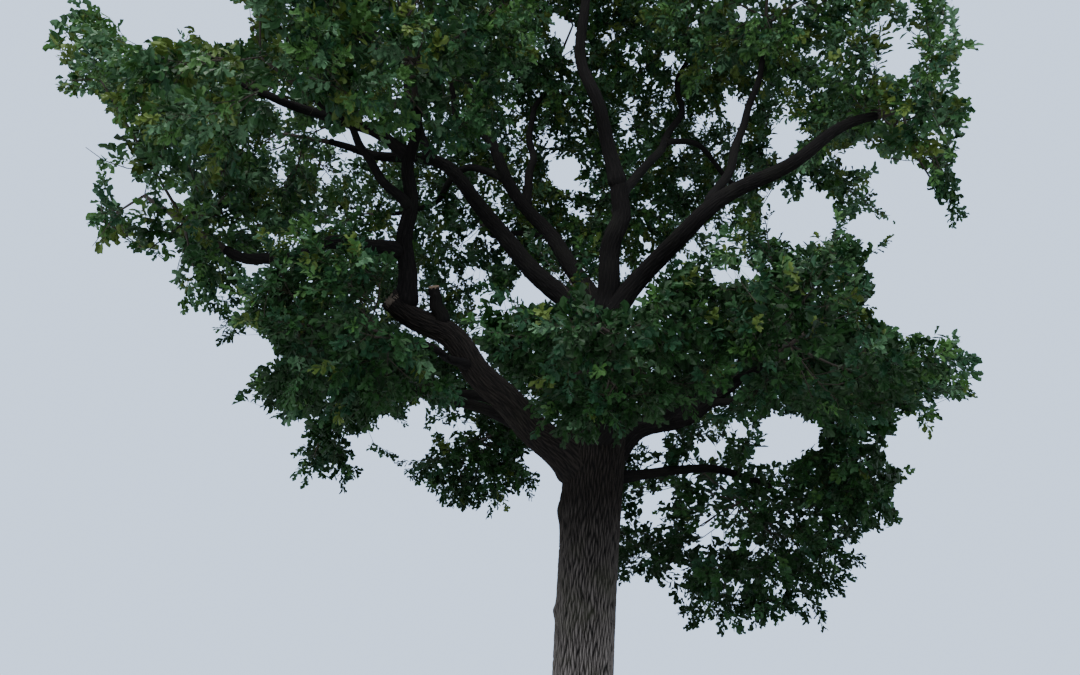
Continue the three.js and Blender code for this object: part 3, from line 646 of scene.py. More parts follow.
@dataclass(frozen=True)
class CutWoodFinish:
    """Weathered cut or broken wood: pale, with rings round the middle of the cut and dark checks.

    Attributes:
        name: the material's name.
        middle: the middle of the cut.
        pale: the colour of the wood.
        dark: the colour of its checks and late rings.
        rings: how many radians of ring there are in a metre, and how far the noise bends them.
        checks: the scale and the detail of the noise.
        ring_share: how much of the rings shows in the tone and in the relief.
        check_share: how much of the noise shows in the tone.
        paleness: how much the tone is lowered.
        bump: how deep the relief is.
    """

    name: str
    middle: tuple[float, float, float]
    pale: Colour
    dark: Colour
    rings: tuple[float, float] = (620.0, 5.0)
    checks: tuple[float, float] = (26.0, 5.0)
    ring_share: float = 0.4
    check_share: float = 0.9
    paleness: float = 0.25
    bump: float = 0.004

    def material(self) -> bpy.types.Material:
        """Builds rings from the distance to the middle, bent by noise."""
        shader = Shader(self.name, Specular_IOR_Level=0.2)
        ends = {0: shader.place, 1: self.middle}
        away = shader.node("ShaderNodeVectorMath", {"operation": "DISTANCE"}, ends)
        far, rough = Value(shader, away.outputs["Value"]), shader.noise(*self.checks)
        close, bend = self.rings
        rings = (far * close + rough * bend).math("SINE") * 0.5 + 0.5
        tone = (rings * self.ring_share + rough * self.check_share - self.paleness).clamped()
        relief = rings * self.ring_share + rough
        shader.dress(shader.mix(tone, self.pale, self.dark), 0.9, relief, self.bump)
        return shader.material


@dataclass(frozen=True)
class MottledFinish:
    """A plain colour, darker and lighter by a coarse and a fine noise.

    Attributes:
        name: the material's name, and the piece's for leaves.
        tint: its colour.
    """

    name: str
    tint: Colour

    # Each noise's scale, detail and share, how much the tone is lowered, how many times the tint the
    # dark and the light colour are, and what is added to the light one.
    COARSE, FINE = (2.5, 2.0, 0.5), (40.0, 3.0, 0.8)
    LOWERED = 0.35
    DARK, LIGHT, ADDED = 1.0, 2.1, 0.0
    # How much the surface shines, how matt it is, how much that varies, and how deep its bump is.
    SHINE, ROUGHNESS, ROUGHER, BUMP = 0.3, 0.85, 0.0, 0.002

    def material(self) -> bpy.types.Material:
        """Builds the material: the tint, made darker and lighter by two noises."""
        shader = Shader(self.name, Specular_IOR_Level=self.SHINE)
        fine = shader.noise(*self.FINE[:2])
        coarse = shader.noise(*self.COARSE[:2])
        tone = (coarse * self.COARSE[2] + fine * self.FINE[2] - self.LOWERED).clamped()
        dark = tuple(c * self.DARK for c in self.tint)
        light = tuple(min(1.0, c * self.LIGHT + self.ADDED) for c in self.tint)
        roughness = self.ROUGHNESS + fine * self.ROUGHER if self.ROUGHER else self.ROUGHNESS
        shader.dress(shader.mix(tone, dark, light), roughness, fine if self.BUMP else None, self.BUMP)
        return shader.material


class TwigFinish(MottledFinish):
    """Smooth young bark: grey-brown, paler in flecks."""


@dataclass(frozen=True)
class LeafFinish(MottledFinish):
    """One tint of oak leaf, with a little cloudiness from spray to spray.

    Attributes:
        share: how much of the foliage has this tint, before the light is counted.
        lift: how much likelier the tint is where a leaf would be lit, below 0 where it would be shaded:
            painted light and shade.
    """

    share: float
    lift: float

    COARSE, FINE = (1.1, 2.0, 0.9), (23.0, 2.0, 0.9)
    LOWERED = 0.4
    DARK, LIGHT, ADDED = 0.62, 1.3, 0.004
    SHINE, ROUGHNESS, ROUGHER, BUMP = 0.28, 0.5, 0.12, 0.0


class StudioFinish(MottledFinish):
    """A plain matt studio surface with the faintest mottling."""

    COARSE, FINE = (0.6, 3.0, 1.0), (0.6, 3.0, 0.0)
    LOWERED = 0.0
    DARK, LIGHT, ADDED = 1.0, 1.04, 0.0
    SHINE, ROUGHNESS, ROUGHER, BUMP = 0.1, 0.9, 0.0, 0.0


def new_piece(name: str, points: Array, faces: Iterable[Array], rounded: bool = True) -> bpy.types.Object:
    """Makes a mesh object at the origin from points and arrays of faces.

    Args:
        name: the piece's name.
        points: vertices, one row each.
        faces: arrays of vertex numbers, each with its own number of corners a face.
        rounded: whether the faces are shaded smooth.

    Returns:
        The object.
    """
    faces = [np.asarray(block, np.int32) for block in faces if len(block)]
    mesh = bpy.data.meshes.new(name)
    mesh.vertices.add(len(points))
    mesh.vertices.foreach_set("co", np.asarray(points, np.float32).ravel())
    corners = np.concatenate([block.ravel() for block in faces])
    sizes = np.concatenate([np.full(len(block), block.shape[1], np.int32) for block in faces])
    mesh.loops.add(len(corners))
    mesh.loops.foreach_set("vertex_index", corners)
    mesh.polygons.add(len(sizes))
    mesh.polygons.foreach_set("loop_start", (np.cumsum(sizes) - sizes).astype(np.int32))
    mesh.polygons.foreach_set("use_smooth", np.full(len(sizes), rounded))
    mesh.update(calc_edges=True)
    piece = bpy.data.objects.new(name, mesh)
    bpy.context.scene.collection.objects.link(piece)
    return piece


def keep_plates(piece: bpy.types.Object, plate: Array) -> None:
    """Keeps how much of a plate's top each vertex of a piece is, with a set number at its poles."""
    made = piece.data.attributes.new("plate", "FLOAT", "POINT")
    made.data.foreach_set("value", np.append(plate, [POLE_PLATE] * 2).astype(np.float32))


def hand_over(piece: bpy.types.Object, material: bpy.types.Material,
              nodes: Sequence[str]) -> None:
    """Dresses a piece, sets it on the body and hides the solids that it stands for.

    Args:
        piece: the piece.
        material: its material.
        nodes: the solids that it stands for.
    """
    piece.data.materials.append(material)
    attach(piece, BODY)
    if nodes:
        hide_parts(*nodes)
    LOG.info("%s: %d faces", piece.name, len(piece.data.polygons))


def ring_faces(rings: int, sides: int) -> tuple[Array, Array]:
    """Gives the quads between rings of points, and the fans that close both ends at a pole.

    The points are the rings in order, then the first pole and the last pole.

    Args:
        rings: how many rings there are.
        sides: how many points a ring has.

    Returns:
        The quads and the triangles.
    """
    j, i = np.meshgrid(np.arange(rings - 1), np.arange(sides), indexing="ij")
    nxt = (i + 1) % sides
    quads = np.stack([j * sides + i, j * sides + nxt, (j + 1) * sides + nxt, (j + 1) * sides + i], -1)
    k = np.arange(sides)
    k_next = (k + 1) % sides
    last = (rings - 1) * sides
    first_fan = np.stack([np.full(sides, rings * sides), k_next, k], -1)
    last_fan = np.stack([np.full(sides, rings * sides + 1), last + k, last + k_next], -1)
    return quads.reshape(-1, 4), np.concatenate([first_fan, last_fan])


def closed_rings(name: str, points: Array, poles: Array) -> bpy.types.Object:
    """Makes a piece from a grid of rings of points, with a pole at each end."""
    flat = np.concatenate([points.reshape(-1, 3), poles])
    return new_piece(name, flat, ring_faces(*points.shape[:2]))


class LimbEnd(Enum):
    """How a limb ends: the rings that close it, each with its width and how far out it stands.

    A width is a share of the limb's last ring, and a distance is in radii of the tip. The end's
    middle stands further out than the last ring by the dome.
    """

    GROWING = (((0.86, 0.3), (0.5, 0.62)), 0.1)
    CUT = (((0.97, 0.03), (0.6, 0.05)), 0.0)
    BROKEN = (((0.72, 0.1), (0.4, -0.25)), 0.0)

    @property
    def rings(self) -> tuple[tuple[float, float], ...]:
        """Gives the width and the distance of each ring."""
        return self.value[0]

    @property
    def dome(self) -> float:
        """Gives how far the end's middle stands out past its last ring."""
        return self.value[1]


@dataclass
class Trunk:
    """The trunk: its leaning middle line, its flared and waisted radius, and its bark.

    Attributes:
        sides: points round each ring.
        rings: rings up to the fork.
        turning: over what length the rings turn square to the leader.
        dome: how far the leader's end stands out, in radii of its tip.
        relief: its bark.
        bark_seed: which bark.
        healed: healed branch scars: height, bearing, rise, and reach up and round.
    """

    sides: int = 400
    rings: int = 140
    turning: float = 0.9
    dome: float = 0.2
    relief: BarkRelief = BarkRelief()
    bark_seed: float = 41.0
    healed: tuple[tuple[float, ...], ...] = (
        (2.98, math.radians(-172), 0.04, 0.1, 0.12), (3.02, math.radians(-120), 0.022, 0.035, 0.2),
        (2.86, math.radians(-72), 0.028, 0.07, 0.09), (2.93, math.radians(-98), 0.02, 0.08, 0.07))

    def axis(self, height: Array) -> Array:
        """Gives the middle line: upright at the ground, leaning more as it rises."""
        share = np.asarray(height) / FORK_HEIGHT
        lean = TRUNK_LEAN * share * (1 - TRUNK_BEND + TRUNK_BEND * share)
        return np.stack([lean, np.zeros_like(lean), np.asarray(height) + 0.0 * lean], -1)

    def radius(self, height: Array, bearing: Array) -> Array:
        """Gives the radius: waisted stem, plus buttressed flare falling off upwards, plus a burr.

        Args:
            height: how far up.
            bearing: the bearing in radians.

        Returns:
            The radius at each place.
        """
        share = np.asarray(height) / FORK_HEIGHT
        stem = TRUNK_RADIUS + (FORK_RADIUS - TRUNK_RADIUS) * share**FORK_SWELL
        flare = FLARE_SPREAD * np.exp(-np.asarray(height) / FLARE_HEIGHT)
        ridges = 1 + FLARE_RIDGE * np.cos(FLARE_BUTTRESSES * bearing + FLARE_TURN)
        turn = (np.cos(bearing - BURR_BEARING) - 1) / BURR_SPREAD**2
        up = (np.asarray(height) - BURR_HEIGHT) / BURR_REACH
        return stem + flare * ridges + BURR_RISE * np.exp(turn - up * up)

    def point_at(self, share: float) -> Array:
        """Gives the middle line at a share of the fork's height."""
        return self.axis(share * FORK_HEIGHT)

    def radius_at(self, share: float) -> float:
        """Gives the radius on the right at a share of the fork's height."""
        return float(self.radius(share * FORK_HEIGHT, 0.0))

    def build(self, leader: "Limb") -> bpy.types.Object:
        """Makes the bark of the trunk and its leader as one grid of place up and bearing.

        A point is the middle line plus the radius with its bark, on two unit vectors that are level
        on the trunk and turn square to the leader above it. The foot is flat.

        Args:
            leader: the second length of the trunk, above the first fork.

        Returns:
            The piece.
        """
        low = np.linspace(0.0, 1.0, self.rings)
        step = FORK_HEIGHT / self.rings
        high = np.arange(step, leader.span, step) / leader.span
        middle = np.concatenate([self.axis(low * FORK_HEIGHT), leader.point_at(high)])
        way = UP + smooth(high * leader.span / self.turning)[:, None] * (leader.direction_at(high) - UP)
        way = unit(np.concatenate([np.tile(UP, (self.rings, 1)), way]))
        across = unit(RIGHT - way * way[:, :1])
        upward = np.cross(way, across)
        along = np.concatenate([low * FORK_HEIGHT, FORK_HEIGHT + high * leader.span])
        place, around = np.meshgrid(along, np.arange(self.sides) / self.sides, indexing="ij")
        bearing = math.tau * around
        lift, plate = self.relief.at(around, place, TRUNK_RADIUS, self.bark_seed)
        radius = self.radius(np.minimum(place, FORK_HEIGHT), bearing)
        radius[self.rings:] = np.broadcast_to(leader.radius_at(high)[:, None], radius[self.rings:].shape)
        radius += lift + self.scars(place, bearing)
        points = middle[:, None] + radius[..., None] * turned(bearing, across[:, None], upward[:, None])
        poles = np.stack([middle[0], middle[-1] + way[-1] * leader.radii[1] * self.dome])
        piece = closed_rings("trunk_bark", points, poles)
        keep_plates(piece, plate)
        return piece

    def scars(self, height: Array, bearing: Array) -> Array:
        """Gives the swellings over healed branch scars: a sum of bell curves.

        Args:
            height: how far up.
            bearing: the bearing in radians.

        Returns:
            How far each place stands out.
        """
        total = np.zeros(height.shape)
        for up, turn, rise, tall, wide in self.healed:
            off = (np.mod(bearing - turn + math.pi, math.tau) - math.pi) * TRUNK_RADIUS
            total += rise * np.exp(-(((height - up) / tall) ** 2) - (off / wide) ** 2)
        return total


class Limb:
    """A tapering crooked limb: a cubic from its root to its tip, with a seeded wander."""

    # The mesh: how far apart its rings and the points round them are, and the bounds of their numbers.
    RING_STEP, FEWEST_RINGS = 0.055, 12
    SIDE_STEP, FEWEST_SIDES, MOST_SIDES = 0.0095, 14, 170
    # The step for its direction, the waves of its wander, and the step between the seeds of its bark.
    DIRECTION_STEP = 0.01
    WAVES = (1, 2, 3)
    BARK_SEED_STEP = 7.3
    # How a limb narrows inside its parent: over what share of the parent's radius, and down to what
    # share of its own cross-section.
    BURIED, NARROWEST = 0.8, 0.04
    # A broken end: from what share of the length it is ragged, how far it is pushed out, which part
    # of that is inwards, and the splinters round it.
    BROKEN_FROM, BROKEN_PUSH, BROKEN_INWARDS, BROKEN_SPLINTERS, BROKEN_SEED = 0.985, 0.9, 0.3, 9, 3.7
    # How much of a plate's top the closing rings are.
    END_PLATE = 0.25

    def __init__(self, row: tuple, parent: Union[Trunk, "Limb"], mass: Optional["Mass"], seed: int) -> None:
        """Works out the limb's curve.

        Args:
            row: name, parent, share along it, start, tip and radii.
            parent: what it grows from.
            mass: the mass that it enters, if any.
            seed: which crookedness.
        """
        self.name, _, share, start, tip, self.radii = row
        self.seed = seed
        self.root = parent.point_at(share)
        self.parent_radius = parent.radius_at(share)
        self.tip = np.array(tip, float)
        span = self.tip - self.root
        self.span = float(np.linalg.norm(span))
        self.side = unit(np.array([-span[1], span[0], 0.0]))
        self.lift = -np.cross(span / self.span, self.side)
        last = unit(mass.middle - self.tip) if mass else span / self.span
        hold = self.root + direction(*start) * self.span * START_PULL
        reach = self.tip - last * self.span * END_PULL
        self.corners = np.stack([self.root, hold, reach, self.tip])

    def wander(self, s: Array, channel: int) -> Array:
        """Gives the sum of three seeded waves, which fades at both ends.

        Args:
            s: shares of the limb's length.
            channel: 1 for the wander to the side, 2 for that up.

        Returns:
            How far the middle line strays at each share.
        """
        total = sum(
            np.sin(math.tau * (wave * s + chance(self.seed, channel * len(self.WAVES) + wave))) / wave
            for wave in self.WAVES
        )
        return total * 4 * s * (1 - s) * CROOK * self.span

    def point_at(self, s: Union[float, Array]) -> Array:
        """Gives the middle line: the cubic's point plus the wander to the side and up."""
        s = np.asarray(s, float)
        weights = np.stack([(1 - s) ** 3, 3 * s * (1 - s) ** 2, 3 * s * s * (1 - s), s**3], -1)
        wander = self.wander(s, 1)[..., None] * self.side + self.wander(s, 2)[..., None] * self.lift
        return weights @ self.corners + wander

    def direction_at(self, s: Union[float, Array]) -> Array:
        """Gives the way that the middle line runs."""
        ahead = self.point_at(np.minimum(1, np.asarray(s, float) + self.DIRECTION_STEP))
        return unit(ahead - self.point_at(np.maximum(0, np.asarray(s, float) - self.DIRECTION_STEP)))

    def radius_at(self, s: Union[float, Array]) -> Union[float, Array]:
        """Gives the radius: a taper from base to tip, plus a collar that fades past the parent."""
        base, tip = self.radii
        past = np.maximum(0, np.asarray(s) * self.span - self.parent_radius)
        collar = COLLAR_SPREAD * np.exp(-past / (COLLAR_LENGTH * base))
        return tip + (base - tip) * (1 - np.asarray(s)) ** TAPER_POWER + base * collar

    def frame_at(self, s: Array) -> tuple[Array, Array]:
        """Gives two unit vectors square to the middle line, from the limb's fixed side."""
        along = self.direction_at(s)
        across = unit(self.side - along * (along @ self.side)[..., None])
        return across, np.cross(along, across)

    def build(self, end: LimbEnd, relief: BarkRelief) -> bpy.types.Object:
        """Makes the bark as a grid of place along and bearing round the middle line.

        The last rings close over the end: rounded where it grows on, ragged where it broke, flat
        where it was cut.

        Args:
            end: how the limb ends.
            relief: its bark.

        Returns:
            The piece.
        """
        base = self.radii[0]
        sides = round(math.tau * base / self.SIDE_STEP)
        sides = min(max(sides, self.FEWEST_SIDES), self.MOST_SIDES)
        s = np.linspace(0.0, 1.0, max(self.FEWEST_RINGS, round(self.span / self.RING_STEP)))
        share, around = np.meshgrid(s, np.arange(sides) / sides, indexing="ij")
        lift, plate = relief.at(around, share * self.span, base, self.seed * self.BARK_SEED_STEP)
        buried = np.clip(share * self.span / (self.BURIED * self.parent_radius), self.NARROWEST, 1)
        radius = (self.radius_at(share) + lift) * np.sqrt(buried)
        centre, beyond = self.point_at(s), self.direction_at(1.0) * self.radii[1]
        across, upward = self.frame_at(s)
        ring = turned(math.tau * around, across[:, None], upward[:, None])
        points = centre[:, None] + radius[..., None] * ring
        if end is LimbEnd.BROKEN:
            points += self._splinters(share, around)[..., None] * beyond
        rim = points[-1] - centre[-1]
        extra = [centre[-1] + rim * width + beyond * out for width, out in end.rings]
        plate = np.concatenate([plate, np.full((len(extra), sides), self.END_PLATE)])
        poles = np.stack([centre[0], centre[-1] + beyond * (end.rings[-1][1] + end.dome)])
        piece = closed_rings(f"{self.name}_bark", np.concatenate([points, extra]), poles)
        keep_plates(piece, plate)
        return piece

    def _splinters(self, share: Array, around: Array) -> Array:
        """Gives how far a broken end's last rings stand out, in radii of the tip: a noise round it."""
        noise = cell_noise(around, np.zeros(around.shape), self.BROKEN_SPLINTERS, self.BROKEN_SEED)
        return np.where(share > self.BROKEN_FROM, self.BROKEN_PUSH * (noise - self.BROKEN_INWARDS), 0.0)


@dataclass(frozen=True)
class Wound:
    """Bare wood where a limb was cut or broke: rings from a bark-free rim to the middle.

    Attributes:
        limb: the limb's name.
        end: how the limb ends.
        bulge: how far the middle stands out, in radii of the tip.
        ragged: how far splinters stand out, in radii of the tip.
        pale: the colour of the wood.
        dark: the colour of its checks and late rings.
        sides: points round each ring.
        rings: rings from the rim to the middle.
    """

    limb: str
    end: LimbEnd
    bulge: float
    ragged: float
    pale: Colour
    dark: Colour
    sides: int = 40
    rings: int = 12

    # The rim's and the last ring's width, how far the wood stands out all over, the splinters' number
    # round and from rim to middle, which part of them is inwards, and which they are.
    RIM, LAST, OUT = 0.93, 0.08, 0.1
    SPLINTERS, SPLINTER_ROWS, INWARDS, SPLINTER_SEED = 14, 6.0, 0.35, 8.8
    # How deep the skirt and its closing pole are sunk under the bark, and how soon splinters fade
    # towards the rim.
    SKIRT, SUNK, RIM_FADE = 0.35, 0.3, 3.0

    def build(self, limb: Limb) -> bpy.types.Object:
        """Makes the bare wood.

        A point is the limb's tip plus its ring's share of the radius, turned round the limb, plus a
        distance outwards: a dome, splinters from a noise, and a set step.

        Args:
            limb: the limb that it ends.

        Returns:
            The piece.
        """
        radius = limb.radii[1]
        across, upward = (vector[0] for vector in limb.frame_at(np.array([1.0])))
        outward = limb.direction_at(1.0)
        widths = np.linspace(1.0, self.LAST, self.rings)
        share, around = np.meshgrid(widths, np.arange(self.sides) / self.sides, indexing="ij")
        noise = cell_noise(around, share * self.SPLINTER_ROWS, self.SPLINTERS, self.SPLINTER_SEED)
        splinter = self.ragged * (noise - self.INWARDS) * np.minimum(1, self.RIM_FADE * (1 - share))
        out = self.bulge * (1 - share**2) + splinter + self.OUT
        flat = self.RIM * share[..., None] * turned(math.tau * around, across, upward)
        points = limb.tip + radius * (flat + out[..., None] * outward)
        points = np.concatenate([[points[0] - outward * radius * self.SKIRT], points])
        poles = np.stack([limb.tip - outward * radius * self.SUNK, points[-1].mean(0)])
        return closed_rings(f"{self.limb}_bare_wood", points, poles)

    def finish(self, limb: Limb) -> CutWoodFinish:
        """Gives its finish, with rings round the limb's tip."""
        return CutWoodFinish(f"{self.limb}_bare_wood", tuple(limb.tip), self.pale, self.dark)


@dataclass
class Mass:
    """A mass of foliage: its place, its reach and its own space.

    Attributes:
        name: the solid's name.
        limb: the limb that it grows on from.
        middle: its middle.
        wide: its reach sideways.
        tall: its reach up and down.
    """

    name: str
    limb: str
    middle: Array
    wide: float
    tall: float

    def ends(self, seed: int, counts: Array) -> Array:
        """Gives seeded places for twig ends, spread evenly in a shell of the mass's ellipsoid.

        Args:
            seed: which places.
            counts: their counters.

        Returns:
            A place for each counter.
        """
        u, v, w = (np.mod(chance(seed, axis) + counts * step, 1.0) for axis, step in enumerate(SPREAD))
        turn, height = math.tau * u, 2 * v - 1
        level = np.sqrt(1 - height**2)
        reach = np.cbrt(SHELL**3 + (1 - SHELL**3) * w)
        wide, tall = self.wide * reach * level, self.tall * reach * height
        return self.middle + np.stack([wide * np.cos(turn), wide * np.sin(turn), tall], -1)

    def reach_of(self, points: Array) -> Array:
        """Gives points as seen from the middle, with the mass's reach as the unit each way."""
        return (points - self.middle) / [self.wide, self.wide, self.tall]

    def in_own_space(self, points: Array, others: Sequence["Mass"], slack: float = 0.0) -> Array:
        """Says which points lie on the mass's side of the wall to every other mass.

        A wall stands square to the line between two middles, and divides it as their sizes do.

        Args:
            points: the points.
            others: all masses.
            slack: how far past a wall a point may lie.

        Returns:
            Whether each lies in the mass's space.
        """
        inside = np.ones(points.shape[:-1], bool)
        size = self.wide + self.tall
        for other in others:
            if other.name == self.name:
                continue
            between = other.middle - self.middle
            apart = float(np.linalg.norm(between))
            wall = apart * size / (size + other.wide + other.tall)
            inside &= (points - self.middle) @ between / apart < wall - CELL_GAP + slack
        return inside


def in_sky_gap(points: Array, margin: Union[float, Array] = 0.0) -> Array:
    """Says which points hide an opening: where the sight line crosses the plane through the trunk.

    An opening is an ellipse whose edge wanders by the product of two bent waves, one across and one
    up. The edge of a small one wanders less.

    Args:
        points: the points.
        margin: how much wider a large opening is taken, for all points or each; a small one less.

    Returns:
        Whether each hides an opening.
    """
    share = -EYE[1] / (points[..., 1] - EYE[1])
    x = EYE[0] + (points[..., 0] - EYE[0]) * share
    z = EYE[2] + (points[..., 2] - EYE[2]) * share
    (fast_x, bend_x, by_z), (fast_z, bend_z, by_x) = RAGGED_WAVES
    edge = margin + (RAGGED * np.sin(fast_x * x + bend_x * np.sin(by_z * z))
                     * np.sin(fast_z * z + bend_z * np.sin(by_x * x)))
    hidden = np.zeros(x.shape, bool)
    for gap_x, gap_z, wide, tall in SKY_GAPS:
        grown = edge * min(1.0, max(RAGGED_LEAST, RAGGED_GROWTH * wide - RAGGED_FROM))
        hidden |= ((x - gap_x) / (wide + grown)) ** 2 + ((z - gap_z) / (tall + grown)) ** 2 < 1
    return hidden


@dataclass
class Wood:
    """Points down the middle of the trunk and every limb, to keep foliage off the wood.

    Attributes:
        points: the points.
        radii: the wood's radius at each.
        seen: whether the viewer sees the limb there.
    """

    points: Array
    radii: Array
    seen: Array

    @classmethod
    def of(cls, limbs: dict[str, Union[Trunk, Limb]]) -> "Wood":
        """Collects the points of every limb and the trunk."""
        points, radii, seen = [], [], []
        for name, limb in limbs.items():
            long = FORK_HEIGHT if isinstance(limb, Trunk) else limb.span
            shares = np.linspace(0, 1, math.ceil(long / WOOD_STEP) + 1)
            points += [limb.point_at(share) for share in shares]
            radii += [float(limb.radius_at(share)) for share in shares]
            stretches = [row[1:] for row in SEEN_LIMBS if row[0] == name]
            seen += [any(low <= share <= high for low, high in stretches) for share in shares]
        return cls(np.array(points), np.array(radii), np.array(seen))

    def touches(self, start: Array, end: Array, thick: float) -> bool:
        """Says whether a straight piece comes near any wood, by its nearest point to each middle.

        Args:
            start: where the piece starts.
            end: where it ends.
            thick: its radius.

        Returns:
            Whether it does.
        """
        run = end - start
        share = np.clip((self.points - start) @ run / max(float(run @ run), SHORTEST), 0, 1)
        near = start + share[:, None] * run
        gap = np.linalg.norm(near - self.points, axis=1)
        return bool((gap < self.radii + thick + LIMB_GAP).any())

    def holds(self, points: Array) -> Array:
        """Says which points lie inside the wood: nearer a middle point than the radius there."""
        gap = np.linalg.norm(points[:, None] - self.points[None], axis=2)
        return (gap < self.radii).any(1)

    def hidden_by(self, points: Array) -> Array:
        """Says which points lie in front of a stretch of limb that the viewer sees.

        Along the sight line through a point, a seen middle point lies further off, and nearer the
        line than the limb's radius and a strip.

        Args:
            points: the points.

        Returns:
            Whether each hides a limb.
        """
        sight = points - EYE
        far = np.linalg.norm(sight, axis=1)
        reach = self.points[self.seen] - EYE
        along = (sight / far[:, None]) @ reach.T
        aside = np.sqrt(np.maximum((reach**2).sum(1) - along**2, 0))
        return ((along > far[:, None]) & (aside < self.radii[self.seen] + SEEN_GAP)).any(1)


class TwigTree:
    """The twigs of one mass, grown by the rule of the solids and carried on to many more ends."""

    # Where side twigs start, where a twig is checked on its way, how far a twig bows and how much of
    # that is down, and the step between what draws the three parts of a bow.
    HALF_WAY = 0.5
    CHECKED = np.array([[0.25], [0.5], [0.75]])
    BOW, SAG, BOW_STEP = 0.07, 0.35, 0.37

    def __init__(self, mass: Mass, limb: Limb, seed: int, wood: Wood, masses: Sequence[Mass]) -> None:
        """Grows the twigs.

        Args:
            mass: the mass.
            limb: the limb that it grows on from.
            seed: which twigs.
            wood: what to keep off.
            masses: all masses, for the walls between them.
        """
        self.mass, self.limb, self.seed, self.masses = mass, limb, seed, masses
        self.foot = limb.point_at(1.0) + CLEARANCE * limb.direction_at(1.0)
        self.wood = wood
        self.nodes = [(self.foot, 0.0, -1, 1.0)]
        self.starts: list[Array] = []
        self.finishes: list[Array] = []
        self.parents: list[int] = []
        self.shares: list[float] = []
        self.carries: list[int] = []
        self._grow()
        self._shape()

    def _join(self, number: int, end: Array) -> None:
        """Adds a twig from a node to an end. Its half-way point and its end become nodes.

        Args:
            number: the node.
            end: the end.
        """
        point, way, parent, share = self.nodes[number]
        long = float(np.linalg.norm(end - point))
        own = len(self.starts)
        self.starts.append(point)
        self.finishes.append(end)
        self.parents.append(parent)
        self.shares.append(share)
        self.carries.append(0)
        self.nodes.append(((point + end) / 2, way + long / 2, own, self.HALF_WAY))
        self.nodes.append((end, way + long, own, 1.0))
        while own >= 0:
            self.carries[own] += 1
            own = self.parents[own]

    def _grow(self) -> None:
        """Joins each seeded end to the node that makes the shortest way back to the limb."""
        counts = np.arange(1, TRIES_PER_MASS + 1)
        ends = self.mass.ends(self.seed, counts)
        fit = self.mass.in_own_space(ends, self.masses) & ~in_sky_gap(ends) & ~self.wood.hidden_by(ends)
        self._join(0, self.mass.middle)
        for end in ends[fit]:
            if len(self.starts) > DENSE_MASSES.get(self.mass.name, ENDS_PER_MASS):
                break
            points = np.array([node[0] for node in self.nodes[1:]])
            ways = np.array([node[1] for node in self.nodes[1:]])
            best = int(np.argmin(np.linalg.norm(points - end, axis=1) + TWIG_BALANCE * ways)) + 1
            start = self.nodes[best][0]
            if self._hides_nothing(start, end) and not self.wood.touches(start, end, TWIG_RADIUS):
                self._join(best, end)

    def _hides_nothing(self, start: Array, end: Array) -> bool:
        """Says whether a straight twig passes in front of no opening and no seen limb."""
        points = start + self.CHECKED * (end - start)
        return not (in_sky_gap(points) | self.wood.hidden_by(points)).any()

    def _shape(self) -> None:
        """Works out each twig's thickness and bow, and starts side twigs on their bowed parents.

        A twig's radius goes with the root of what it carries, so that the stem fits its limb.
        """
        start, end = np.array(self.starts), np.array(self.finishes)
        carries = np.array(self.carries, float)
        self.base = float(self.limb.radius_at(1.0)) * np.sqrt(carries / carries[0])
        self.base[0] *= STEM_SHARE
        number = np.arange(len(start))
        sway = np.stack([chance(self.seed, number + self.BOW_STEP * axis) - 0.5 for axis in (1, 2, 3)], -1)
        sway[:, 2] -= self.SAG
        self.bow = sway * np.linalg.norm(end - start, axis=1, keepdims=True) * 2 * self.BOW
        parents, shares = np.array(self.parents), np.array(self.shares)
        bowed = (parents > 0) & (shares == self.HALF_WAY)
        start[bowed] += self.bow[parents[bowed]]
        self.bow[0] = 0.0
        self.start, self.end = start, end

    def point(self, twig: Array, share: Array) -> Array:
        """Gives points on twigs: the straight line plus the bow times 4s(1-s)."""
        s = np.asarray(share)[..., None]
        return self.start[twig] * (1 - s) + self.end[twig] * s + self.bow[twig] * 4 * s * (1 - s)


def repeated(faces: Array, count: int, size: int) -> Array:
    """Gives one shape's faces over for a count of shapes, each with its own block of points."""
    return (faces + (np.arange(count) * size)[:, None, None]).reshape(-1, faces.shape[1])


def joined(batches: Sequence[tuple]) -> list[Array]:
    """Gives each column of the batches as one array over all of them."""
    return [np.concatenate(column) for column in zip(*batches)]


@dataclass(frozen=True)
class Tubes:
    """Many thin bowed tubes as one mesh.

    Attributes:
        rings: rings a tube.
        sides: points a ring.
        steep: how upright a tube must be for its rings to be set out from the right.
    """

    rings: int = 4
    sides: int = 5
    steep: float = 0.9

    def surface(self, start: Array, end: Array, bow: Array, base: Array, tip: Array) -> tuple[Array, list]:
        """Gives the points and faces of the tubes.

        A point is the bowed middle line at share t, plus the radius that falls from base to tip
        times a unit vector turned round the tube's chord. Each end is closed by one flat face.

        Args:
            start: where each tube starts.
            end: where it ends.
            bow: how far its middle stands aside.
            base: its radius at its start.
            tip: its radius at its end.

        Returns:
            The points, and the arrays of faces.
        """
        along = unit(end - start)
        across, upward = square_to(along, np.where(np.abs(along[:, 2:]) > self.steep, RIGHT, UP))
        t = np.linspace(0, 1, self.rings)[None, :, None]
        middle = start[:, None] * (1 - t) + end[:, None] * t + bow[:, None] * 4 * t * (1 - t)
        radius = base[:, None, None] * (1 - t) + tip[:, None, None] * t
        ring = turned(math.tau * np.arange(self.sides) / self.sides, across[:, None], upward[:, None])
        points = middle[:, :, None] + radius[..., None] * ring[:, None]
        first = np.arange(self.sides)
        ends = np.stack([first[::-1], (self.rings - 1) * self.sides + first])
        size, quads = self.rings * self.sides, ring_faces(self.rings, self.sides)[0]
        return points.reshape(-1, 3), [repeated(faces, len(start), size) for faces in (quads, ends)]


